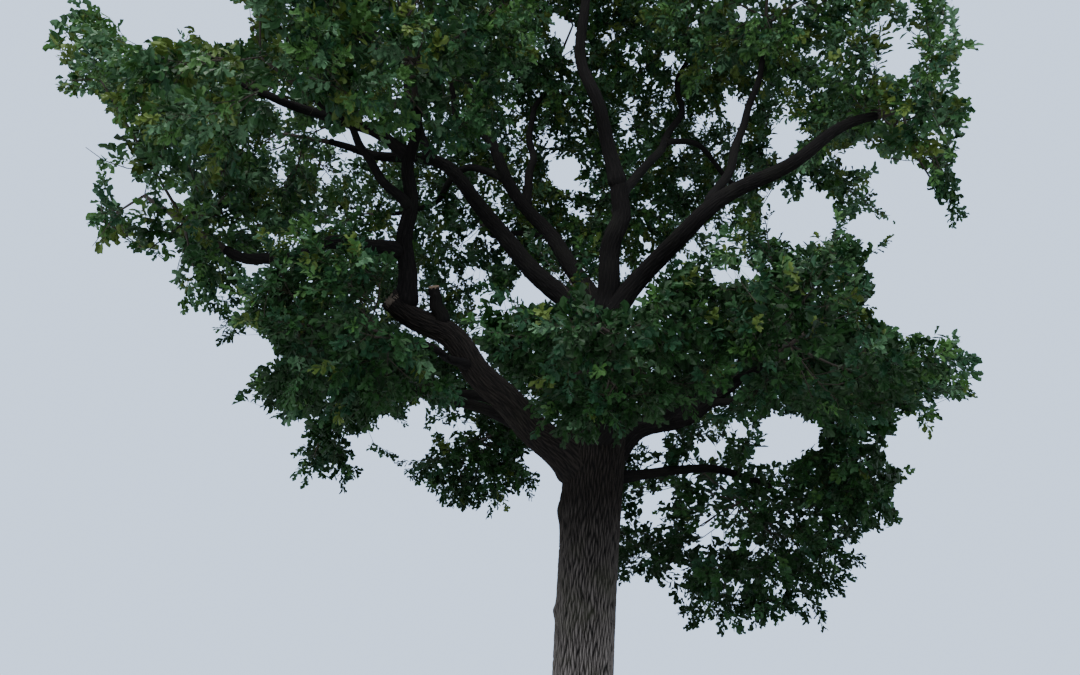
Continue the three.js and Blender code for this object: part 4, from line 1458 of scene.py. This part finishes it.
def spikes(start: Array, end: Array, radius: Array) -> tuple[Array, list]:
    """Gives the points and faces of many thin three-sided spikes.

    Three points stand round each start at the radius, square to the spike, and one at its end.

    Args:
        start: where each spike starts.
        end: where it ends.
        radius: its radius at its start.

    Returns:
        The points, and the array of faces in a list.
    """
    across, upward = square_to(unit(end - start))
    ring = turned(math.tau * np.arange(3) / 3, across[:, None], upward[:, None])
    points = np.concatenate([start[:, None] + ring * radius[:, None, None], end[:, None]], 1)
    faces = np.array([(0, 1, 3), (1, 2, 3), (2, 0, 3), (2, 1, 0)])
    return points.reshape(-1, 3), [repeated(faces, *points.shape[:2])]


@dataclass(frozen=True)
class LeafShape:
    """A lobed oak leaf of five triangles, folded along its midrib and uneven from side to side.

    Attributes:
        length: the leaf's length.
        fold: how far the edges stand above the midrib, as a share of their distance from it.
        droop: how far the tip bends down, as a share of the length.
        right: the right half's outline from base to tip: distance from the midrib, and along it.
        left: the left half's, without the base and the tip.
    """

    length: float = 0.117
    fold: float = 0.3
    droop: float = 0.14
    right: tuple[tuple[float, float], ...] = (
        (0.0, 0.0), (0.25, 0.36), (0.11, 0.53), (0.31, 0.78), (0.0, 1.0))
    left: tuple[tuple[float, float], ...] = ((-0.29, 0.55), (-0.17, 0.86))

    def template(self) -> tuple[Array, Array]:
        """Gives the leaf's points as aside, along and above, and its triangles."""
        flat = np.array(self.right + self.left)
        above = self.fold * np.abs(flat[:, 0]) - self.droop * flat[:, 1] ** 2
        points = np.column_stack([flat, above])
        return points, np.array([(0, 1, 2), (0, 2, 4), (2, 3, 4), (0, 4, 6), (0, 6, 5)])

    def surface(self, root: Array, along: Array, facing: Array, size: Array) -> tuple[Array, list]:
        """Gives the points and faces of many leaves.

        A point is the root plus the leaf's size times its aside, along and above measures on the
        three unit vectors that the leaf's direction and facing give.

        Args:
            root: where each leaf springs.
            along: the way its midrib runs.
            facing: roughly the way its upper face looks.
            size: its length.

        Returns:
            The points, and the array of faces in a list.
        """
        template, triangles = self.template()
        aside = unit(np.cross(along, facing))
        basis = np.stack([aside, along, np.cross(aside, along)], 1) * size[:, None, None]
        points = root[:, None] + template[None] @ basis
        return points.reshape(-1, 3), [repeated(triangles, *points.shape[:2])]


@dataclass(frozen=True)
class ShootHabit:
    """How shoots stand on twigs, in metres and radians. A spread is what a full draw adds.

    Attributes:
        shares: how far along a twig each of its shoots springs, the one that leads it on first.
        length: a shoot's length.
        shortest: the least of that, as a share.
        length_spread: the spread of that share.
        radius: a shoot's radius at its root.
        lead_angle: how far the leading shoot opens from its twig.
        side_angle: how far the others open.
        angle_spread: the spread of either, half of it to each side.
        turn_spread: the spread of the turn round the twig.
        outward: how much a shoot bends away from the mass's middle.
        upward: how much it bends up.
        stray: how far a shoot stays out of an opening, or into it below 0.
        stray_spread: the spread of that.
        overhang: how far a shoot may stand into an opening before its leaves are left out.
        mingling: how far shoots and leaves reach over the wall to the next mass.
        numbers: how many numbers each twig has for its shoots.
    """

    shares: tuple[float, ...] = (1.0, 1.0, 1.0, 0.94, 0.85, 0.75, 0.62, 0.5, 0.36)
    length: float = 0.4
    shortest: float = 0.65
    length_spread: float = 0.6
    radius: float = 0.0045
    lead_angle: float = 0.15
    side_angle: float = 0.8
    angle_spread: float = 0.4
    turn_spread: float = 2.0
    outward: float = 0.35
    upward: float = 0.12
    stray: float = -0.13
    stray_spread: float = 0.2
    overhang: float = 0.1
    mingling: float = 0.3
    numbers: float = 11.0


@dataclass(frozen=True)
class LeafHabit:
    """How leaves stand on a shoot, in metres and radians. A spread is what a full draw adds.

    Attributes:
        count: how many leaves a shoot carries.
        fewest: how many must be left on a shoot for it to stay.
        leafy: which share of a shoot carries leaves, from its end.
        crowding: the power that crowds them towards the end.
        turn_spread: the spread of the turn round the shoot.
        lean: how far the last leaf leans out from the shoot.
        lean_growth: how much further a leaf at the root would lean.
        lean_spread: the spread of the lean.
        sag: how much a leaf hangs.
        facing: how much its face looks up, outwards, away from the shoot and at random.
        smallest: the least size, as a share of the leaf's length.
        size_spread: the spread of that share.
        shade_from: how far out in a mass the full shade reaches.
        shade_over: over what distance past that it fades, both in reaches of the mass.
        shade_growth: how much larger the leaves are in the shade.
        shade_thinning: which share of them is left out there.
        checked: how far along a leaf it is checked.
        edge_spread: the spread of how far a leaf stays out of an opening.
        numbers: how many numbers each shoot has for its leaves.
    """

    count: int = 14
    fewest: int = 6
    leafy: float = 0.78
    crowding: float = 1.25
    turn_spread: float = 6.3
    lean: float = 0.35
    lean_growth: float = 0.75
    lean_spread: float = 0.5
    sag: float = 0.12
    facing: tuple[float, float, float, float] = (0.6, 0.6, 0.35, 1.1)
    smallest: float = 0.75
    size_spread: float = 0.45
    shade_from: float = 0.55
    shade_over: float = 0.5
    shade_growth: float = 0.6
    shade_thinning: float = 0.5
    checked: float = 0.6
    edge_spread: float = 0.08
    numbers: float = 17.0


@dataclass(frozen=True)
class PaintedSkyLight:
    """How much light a spray of leaves would get, which weights the tint that it is dealt: painted light and
    shade.

    Attributes:
        by_depth: how much it counts how far out in its mass a leaf stands.
        half_lit: how far out counts as neither light nor shade.
        by_height: how much it counts how high in its mass a leaf stands.
        by_place: how much it counts how far out and up in the crown its shoot stands.
        level: the height that counts as neither.
        reach: how far out or up counts as one.
        middling: the sum of both that counts as neither.
        contrast: how strongly the light tells.
    """

    by_depth: float = 0.6
    half_lit: float = 0.85
    by_height: float = 0.2
    by_place: float = 0.8
    level: float = 8.0
    reach: float = 6.0
    middling: float = 0.75
    contrast: float = 3.0

    def at(self, depth: Array, high: Array, foot: Array) -> Array:
        """Gives the light, from -1 to 1.

        Args:
            depth: how far out in its mass each leaf stands, in reaches of the mass.
            high: how high in its mass it stands, in the same way.
            foot: the root of its shoot.

        Returns:
            The light of each leaf.
        """
        out = np.hypot(foot[:, 0], foot[:, 1]) / self.reach
        open_sky = out + (foot[:, 2] - self.level) / self.reach - self.middling
        light = self.by_depth * (depth - self.half_lit) + self.by_height * high + self.by_place * open_sky
        return np.clip(light, -1, 1)


class Shoots(NamedTuple):
    """The shoots of a mass: where each springs and ends, its radius, its number and its way out."""

    root: Array
    end: Array
    radius: Array
    number: Array
    outward: Array

    def only(self, which: Array) -> "Shoots":
        """Gives some of them, by number or by a mask."""
        return Shoots(*(column[which] for column in self))


@dataclass
class Foliage:
    """All twigs, shoots and leaves of the crown.

    Attributes:
        tints: the leaf finishes.
        shoot: how shoots grow.
        leaf: how leaves grow.
        shape: a leaf's shape.
        light: what decides how light a spray's tint is, as painted light and shade.
        tubes: the twigs' mesh.
        narrowing: a twig's radius at its end, as a share of that at its start.
        thinnest: the least radius of a twig.
        twigs: each mass's twigs.
        shoots: each mass's shoots.
        leaves: each mass's leaves: where they spring, their way, facing, size and tint.
    """

    tints: tuple[LeafFinish, ...]
    shoot: ShootHabit = ShootHabit()
    leaf: LeafHabit = LeafHabit()
    shape: LeafShape = LeafShape()
    light: PaintedSkyLight = PaintedSkyLight()
    tubes: Tubes = Tubes()
    narrowing: float = 0.55
    thinnest: float = 0.004
    twigs: list[tuple] = field(default_factory=list)
    shoots: list[tuple] = field(default_factory=list)
    leaves: list[tuple] = field(default_factory=list)

    def add_mass(self, tree: TwigTree) -> None:
        """Adds the twigs, shoots and leaves of the mass that a twig tree fills to the lists."""
        tip = np.maximum(tree.base * self.narrowing, self.thinnest)
        self.twigs.append((tree.start, tree.end, tree.bow, tree.base, tip))
        shoots = self._grow_shoots(tree)
        leafy = self._grow_leaves(tree, shoots)
        self.shoots.append(shoots.only(leafy)[:3])

    def _grow_shoots(self, tree: TwigTree) -> Shoots:
        """Works out the shoots of a mass, one at each share of each twig.

        A shoot's direction is its twig's, turned aside by an angle, and bent out and up. Shoots that
        leave the space or hide sky are dropped.

        Args:
            tree: the mass's twigs.

        Returns:
            The shoots.
        """
        habit, seed = self.shoot, tree.seed
        twigs = np.arange(1, len(tree.start))
        twig = np.repeat(twigs, len(habit.shares))
        place = np.tile(np.arange(len(habit.shares)), len(twigs))
        number = twig * habit.numbers + place
        root = tree.point(twig, np.array(habit.shares)[place])
        along = unit(tree.end[twig] - tree.start[twig])
        turn = GOLDEN_ANGLE * number + habit.turn_spread * chance(seed, number)
        aside = turned(turn, *square_to(along))
        opening = np.where(place == 0, habit.lead_angle, habit.side_angle)
        opening = opening + habit.angle_spread * (chance(seed, number + 0.2) - 0.5)
        outward = unit(root - tree.mass.middle)
        way = unit(turned(opening, along, aside) + habit.outward * outward + habit.upward * UP)
        long = habit.length * (habit.shortest + habit.length_spread * chance(seed, number + 0.4))
        end = root + way * long[:, None]
        keep = self._free(tree, end, end, self._stray(seed, number) - habit.overhang)
        return Shoots(root, end, np.full(len(root), habit.radius), number, outward).only(keep)

    def _stray(self, seed: int, number: Array) -> Array:
        """Gives how far each shoot stays out of an opening: seeded, and less than 0 for some."""
        return self.shoot.stray + self.shoot.stray_spread * chance(seed, number + 0.3)

    def _free(self, tree: TwigTree, points: Array, tips: Array, edge: Array) -> Array:
        """Says which shoots or leaves may stay.

        Args:
            tree: the mass's twigs.
            points: one point each, which must keep to the mass's space, hide no opening and no seen
                limb, and lie in no wood.
            tips: its tip, which must keep inside the solids' box.
            edge: how far it stays out of an opening.

        Returns:
            Whether each may stay.
        """
        low, high = (np.array(corner) for corner in CAD_BOX)
        return (tree.mass.in_own_space(points, tree.masses, self.shoot.mingling)
                & ~in_sky_gap(points, edge) & (tips > low).all(1) & (tips < high).all(1)
                & ~tree.wood.hidden_by(points) & ~tree.wood.holds(points))

    def _grow_leaves(self, tree: TwigTree, shoots: Shoots) -> Array:
        """Works out the leaves of a mass's shoots and deals each spray a tint.

        Deep in the mass, where the shade is, the leaves are larger and some are left out.

        Args:
            tree: the mass's twigs.
            shoots: the shoots.

        Returns:
            Which shoots keep enough leaves.
        """
        habit, seed = self.leaf, tree.seed
        own = np.repeat(np.arange(len(shoots.root)), habit.count)
        k = np.tile(np.arange(habit.count), len(shoots.root))
        number = shoots.number[own]
        mark = number * habit.numbers + k
        spring, way, facing = self._pose(seed, shoots.only(own), k, mark)
        reach = tree.mass.reach_of(spring)
        depth = np.linalg.norm(reach, axis=1)
        shade = 1 - smooth((depth - habit.shade_from) / habit.shade_over)
        size = self.shape.length * (habit.smallest + habit.size_spread * chance(seed, mark + 0.9))
        size = size * (1 + habit.shade_growth * shade)
        edge = self._stray(seed, number) + habit.edge_spread * chance(seed, mark + 0.5)
        run = way * size[:, None]
        keep = self._free(tree, spring + run * habit.checked, spring + run, edge)
        keep &= chance(seed, mark + 0.7) > habit.shade_thinning * shade
        leafy = np.bincount(own[keep], minlength=len(shoots.root)) >= habit.fewest
        keep &= leafy[own]
        # The tint paints light and shade: paler where a leaf would be lit, darker deep in its mass.
        tint = self._deal(number + seed, self.light.at(depth, reach[:, 2], shoots.root[own]))
        self.leaves.append(tuple(column[keep] for column in (spring, way, facing, size, tint)))
        return leafy

    def _pose(self, seed: int, shoots: Shoots, k: Array, mark: Array) -> tuple[Array, Array, Array]:
        """Works out how each leaf stands on its shoot.

        Leaves stand round a shoot by the golden angle, closer together towards its end. A leaf
        leans forward more near the end, and its face looks up, outwards and a little at random.

        Args:
            seed: the mass's seed.
            shoots: the shoot of each leaf.
            k: the leaf's place on it, counted from the end.
            mark: the leaf's own number.

        Returns:
            Where each leaf springs, the way it runs and the way its face looks.
        """
        habit = self.leaf
        s = 1 - habit.leafy * (k / (habit.count - 1)) ** habit.crowding
        spring = shoots.root * (1 - s[:, None]) + shoots.end * s[:, None]
        along = unit(shoots.end - shoots.root)
        turn = GOLDEN_ANGLE * k + habit.turn_spread * chance(seed, shoots.number)
        radial = turned(turn, *square_to(along))
        lean = habit.lean + habit.lean_growth * (1 - s) + habit.lean_spread * chance(seed, mark + 0.1)
        way = unit(turned(lean, along, radial) - habit.sag * UP)
        stray = np.stack([chance(seed, mark + 0.2 * axis) - 0.5 for axis in (1, 2, 3)], -1)
        up, out, away, strays = habit.facing
        return spring, way, unit(up * UP + out * shoots.outward + away * radial + strays * stray)

    def _deal(self, spray: Array, light: Array) -> Array:
        """Deals a tint to each leaf by its spray's seeded number, weighted by the light it would get:
        painted light and shade.

        Args:
            spray: the number of each leaf's spray.
            light: the light of each leaf, from -1 to 1.

        Returns:
            The number of each leaf's tint.
        """
        weights = np.stack(
            [tint.share * np.exp(self.light.contrast * tint.lift * light) for tint in self.tints], -1)
        limits = np.cumsum(weights, -1) / weights.sum(-1, keepdims=True)
        return (chance(spray, 5.5)[:, None] > limits).sum(-1)

    def build(self, nodes: Sequence[str], twig_finish: TwigFinish, shoot_finish: TwigFinish) -> None:
        """Makes one piece of all twigs, one of all shoots and one of each tint of leaf.

        Args:
            nodes: the solids that they stand for.
            twig_finish: the twigs' bark.
            shoot_finish: the shoots' bark.
        """
        twigs = new_piece("twigs", *self.tubes.surface(*joined(self.twigs)))
        hand_over(twigs, twig_finish.material(), nodes)
        shoots = new_piece("shoots", *spikes(*joined(self.shoots)))
        hand_over(shoots, shoot_finish.material(), nodes)
        *columns, dealt = joined(self.leaves)
        for number, tint in enumerate(self.tints):
            surface = self.shape.surface(*(column[dealt == number] for column in columns))
            hand_over(new_piece(tint.name, *surface, rounded=False), tint.material(), nodes)


@dataclass
class Oak:
    """The whole tree.

    Attributes:
        trunk: the trunk.
        bark: the finish of the trunk and boughs.
        young_shaded_bark: the finish of the slender limbs, near black up in the crown as painted shade.
        slender: the base radius under which a limb has the young bark with its painted shade.
        relief: the bark of the limbs.
        fine_relief: the bark of the thin limbs, with finer plates.
        thin: the base radius under which a limb has the fine relief.
        wounds: the limbs that end in bare wood.
        twig_finish: the twigs' bark.
        shoot_finish: the shoots' bark.
        limbs: the trunk and the limbs by name.
        masses: the masses of foliage.
    """

    trunk: Trunk = field(default_factory=Trunk)
    bark: BarkFinish = BarkFinish("furrowed_bark")
    # Its damp plates are near black: painted shade on the slender limbs high in the crown.
    young_shaded_bark: BarkFinish = BarkFinish("young_shaded_bark", damp_and_shaded_plate=(0.011, 0.0095, 0.009))
    slender: float = 0.25
    relief: BarkRelief = BarkRelief(pitch=0.034, plate=0.3, depth=0.036)
    fine_relief: BarkRelief = BarkRelief(pitch=0.026, plate=0.22, depth=0.03)
    thin: float = 0.11
    wounds: tuple[Wound, ...] = (
        Wound("west_stub", LimbEnd.CUT, 0.06, 0.05, (0.34, 0.25, 0.18), (0.14, 0.1, 0.075)),
        Wound("west_bough", LimbEnd.BROKEN, 0.1, 0.75, (0.15, 0.12, 0.095), (0.05, 0.04, 0.032)))
    twig_finish: TwigFinish = TwigFinish("twig_bark", (0.034, 0.028, 0.023))
    shoot_finish: TwigFinish = TwigFinish("shoot_bark", (0.04, 0.037, 0.02))
    limbs: dict[str, Union[Trunk, Limb]] = field(default_factory=dict)
    masses: list[Mass] = field(default_factory=list)

    def lay_out(self) -> None:
        """Works out every limb and mass from the tables."""
        self.masses = [Mass(name, limb, np.array(middle), *reach) for name, limb, middle, *reach in MASSES]
        by_limb = {mass.limb: mass for mass in self.masses}
        self.limbs["trunk"] = self.trunk
        for number, row in enumerate(LIMBS):
            self.limbs[row[0]] = Limb(row, self.limbs[row[1]], by_limb.get(row[0]), number + 1)

    def build_wood(self) -> None:
        """Makes the trunk, every limb, and the bare wood of the wounds."""
        # The young bark paints shade on the slender limbs up in the crown.
        bark, young = self.bark.material(), self.young_shaded_bark.material()
        hand_over(self.trunk.build(self.limbs["leader"]), bark, ["trunk", "leader"])
        ends = {wound.limb: wound.end for wound in self.wounds}
        for name, limb in self.limbs.items():
            if name in ("trunk", "leader"):
                continue
            relief = self.fine_relief if limb.radii[0] < self.thin else self.relief
            piece = limb.build(ends.get(name, LimbEnd.GROWING), relief)
            hand_over(piece, young if limb.radii[0] < self.slender else bark, [name])
        for wound in self.wounds:
            limb = self.limbs[wound.limb]
            hand_over(wound.build(limb), wound.finish(limb).material(), [])

    def build_foliage(self, foliage: Foliage) -> None:
        """Grows every mass and makes its twigs, shoots and leaves."""
        wood = Wood.of(self.limbs)
        for number, mass in enumerate(self.masses):
            limb = self.limbs[mass.limb]
            foliage.add_mass(TwigTree(mass, limb, FIRST_MASS_SEED + number, wood, self.masses))
        foliage.build([mass.name for mass in self.masses], self.twig_finish, self.shoot_finish)


@dataclass
class Studio:
    """The plain pale floor, the soft light and the camera.

    Attributes:
        floor_size: the floor's side.
        floor_tint: the floor's colour.
        backdrop: the surrounding as the camera sees it.
        sky_light: the surrounding as it lights the tree.
        focal: the lens in millimetres.
        sensor: the camera's sensor, how wide it is in millimetres.
        sight: how far the camera sees.
        crown_middle: where the lamps point.
        lamps: name, place, size, power and colour of each soft lamp.
    """

    floor_size: float = 160.0
    floor_tint: Colour = (0.62, 0.62, 0.61)
    backdrop: Colour = (1.04, 1.29, 1.71)
    sky_light: Colour = (0.78, 0.86, 0.99)
    focal: float = 31.63
    sensor: float = 36.0
    sight: float = 400.0
    crown_middle: tuple[float, float, float] = (0.0, 0.0, 9.0)
    lamps: tuple[tuple, ...] = (
        ("high_lamp", (-7.0, -7.0, 34.0), 18.0, 7400.0, (1.0, 0.98, 0.94)),
        ("front_lamp", (-3.0, -27.0, 20.0), 12.0, 4300.0, (0.98, 0.98, 1.0)),
    )

    def build(self) -> None:
        """Makes the floor, the world, the lamps and the camera."""
        half = self.floor_size / 2
        corners = half * np.array([(-1, -1, 0), (1, -1, 0), (1, 1, 0), (-1, 1, 0)])
        floor = new_piece("floor", corners, [np.array([[0, 1, 2, 3]])], False)
        floor.data.materials.append(StudioFinish("studio_floor", self.floor_tint).material())
        self._sky()
        for lamp in self.lamps:
            self._lamp(*lamp)
        self._camera()

    def _sky(self) -> None:
        """Makes the even surrounding, with one colour for the camera and another for the light."""
        world = bpy.data.worlds.new("studio")
        world.use_nodes = True
        tree = world.node_tree
        seen = tree.nodes.new("ShaderNodeLightPath").outputs["Is Camera Ray"]
        colour = tree.nodes.new("ShaderNodeMix")
        colour.data_type = "RGBA"
        colour.inputs[6].default_value = (*self.sky_light, 1.0)
        colour.inputs[7].default_value = (*self.backdrop, 1.0)
        tree.links.new(seen, colour.inputs["Factor"])
        tree.links.new(colour.outputs[2], tree.nodes["Background"].inputs["Color"])
        bpy.context.scene.world = world

    def _lamp(self, name: str, place: Sequence[float], size: float, power: float, tint: Colour) -> None:
        """Makes one square soft lamp that points at the crown's middle.

        Args:
            name: its name.
            place: where it hangs.
            size: its side.
            power: its power in watts.
            tint: its colour.
        """
        light = bpy.data.lights.new(name, "AREA")
        light.shape, light.size, light.energy, light.color = "SQUARE", size, power, tint
        lamp = bpy.data.objects.new(name, light)
        lamp.location = place
        towards = Vector(self.crown_middle) - Vector(place)
        lamp.rotation_euler = towards.to_track_quat("-Z", "Y").to_euler()
        bpy.context.scene.collection.objects.link(lamp)

    def _camera(self) -> None:
        """Sets the camera at the photograph's place and tilt."""
        data = bpy.data.cameras.new("camera")
        data.lens, data.sensor_width, data.clip_end = self.focal, self.sensor, self.sight
        camera = bpy.data.objects.new("camera", data)
        camera.location = tuple(EYE)
        camera.rotation_euler = (math.radians(90 + EYE_PITCH), 0.0, 0.0)
        bpy.context.scene.collection.objects.link(camera)
        bpy.context.scene.camera = camera


# Leaf tints from dark to pale, with their shares and lifts. The lift deals the dark tints into the shade and
# the pale ones into the light: partly the leaves' own greens, partly painted shade and light.
TINTS = (
    LeafFinish("leaves_deep_painted_shade", (0.007, 0.034, 0.006), 0.17, -1.0),
    LeafFinish("leaves_mid", (0.014, 0.058, 0.010), 0.17, -0.6),
    LeafFinish("leaves_blue_green", (0.014, 0.060, 0.023), 0.15, -0.3),
    LeafFinish("leaves_soft_green", (0.027, 0.088, 0.026), 0.16, 0.1),
    LeafFinish("leaves_grass_green", (0.047, 0.126, 0.026), 0.14, 0.6),
    LeafFinish("leaves_sky_green_painted_light", (0.068, 0.154, 0.072), 0.088, 1.0),
    LeafFinish("leaves_olive", (0.064, 0.110, 0.017), 0.06, 0.4),
    LeafFinish("leaves_late_growth", (0.095, 0.150, 0.026), 0.04, 0.7),
)


def main() -> None:
    logging.basicConfig(level=logging.INFO, format="%(name)s %(message)s")
    oak = Oak()
    oak.lay_out()
    oak.build_wood()
    oak.build_foliage(Foliage(TINTS))
    Studio().build()


if __name__ == "__main__":
    main()
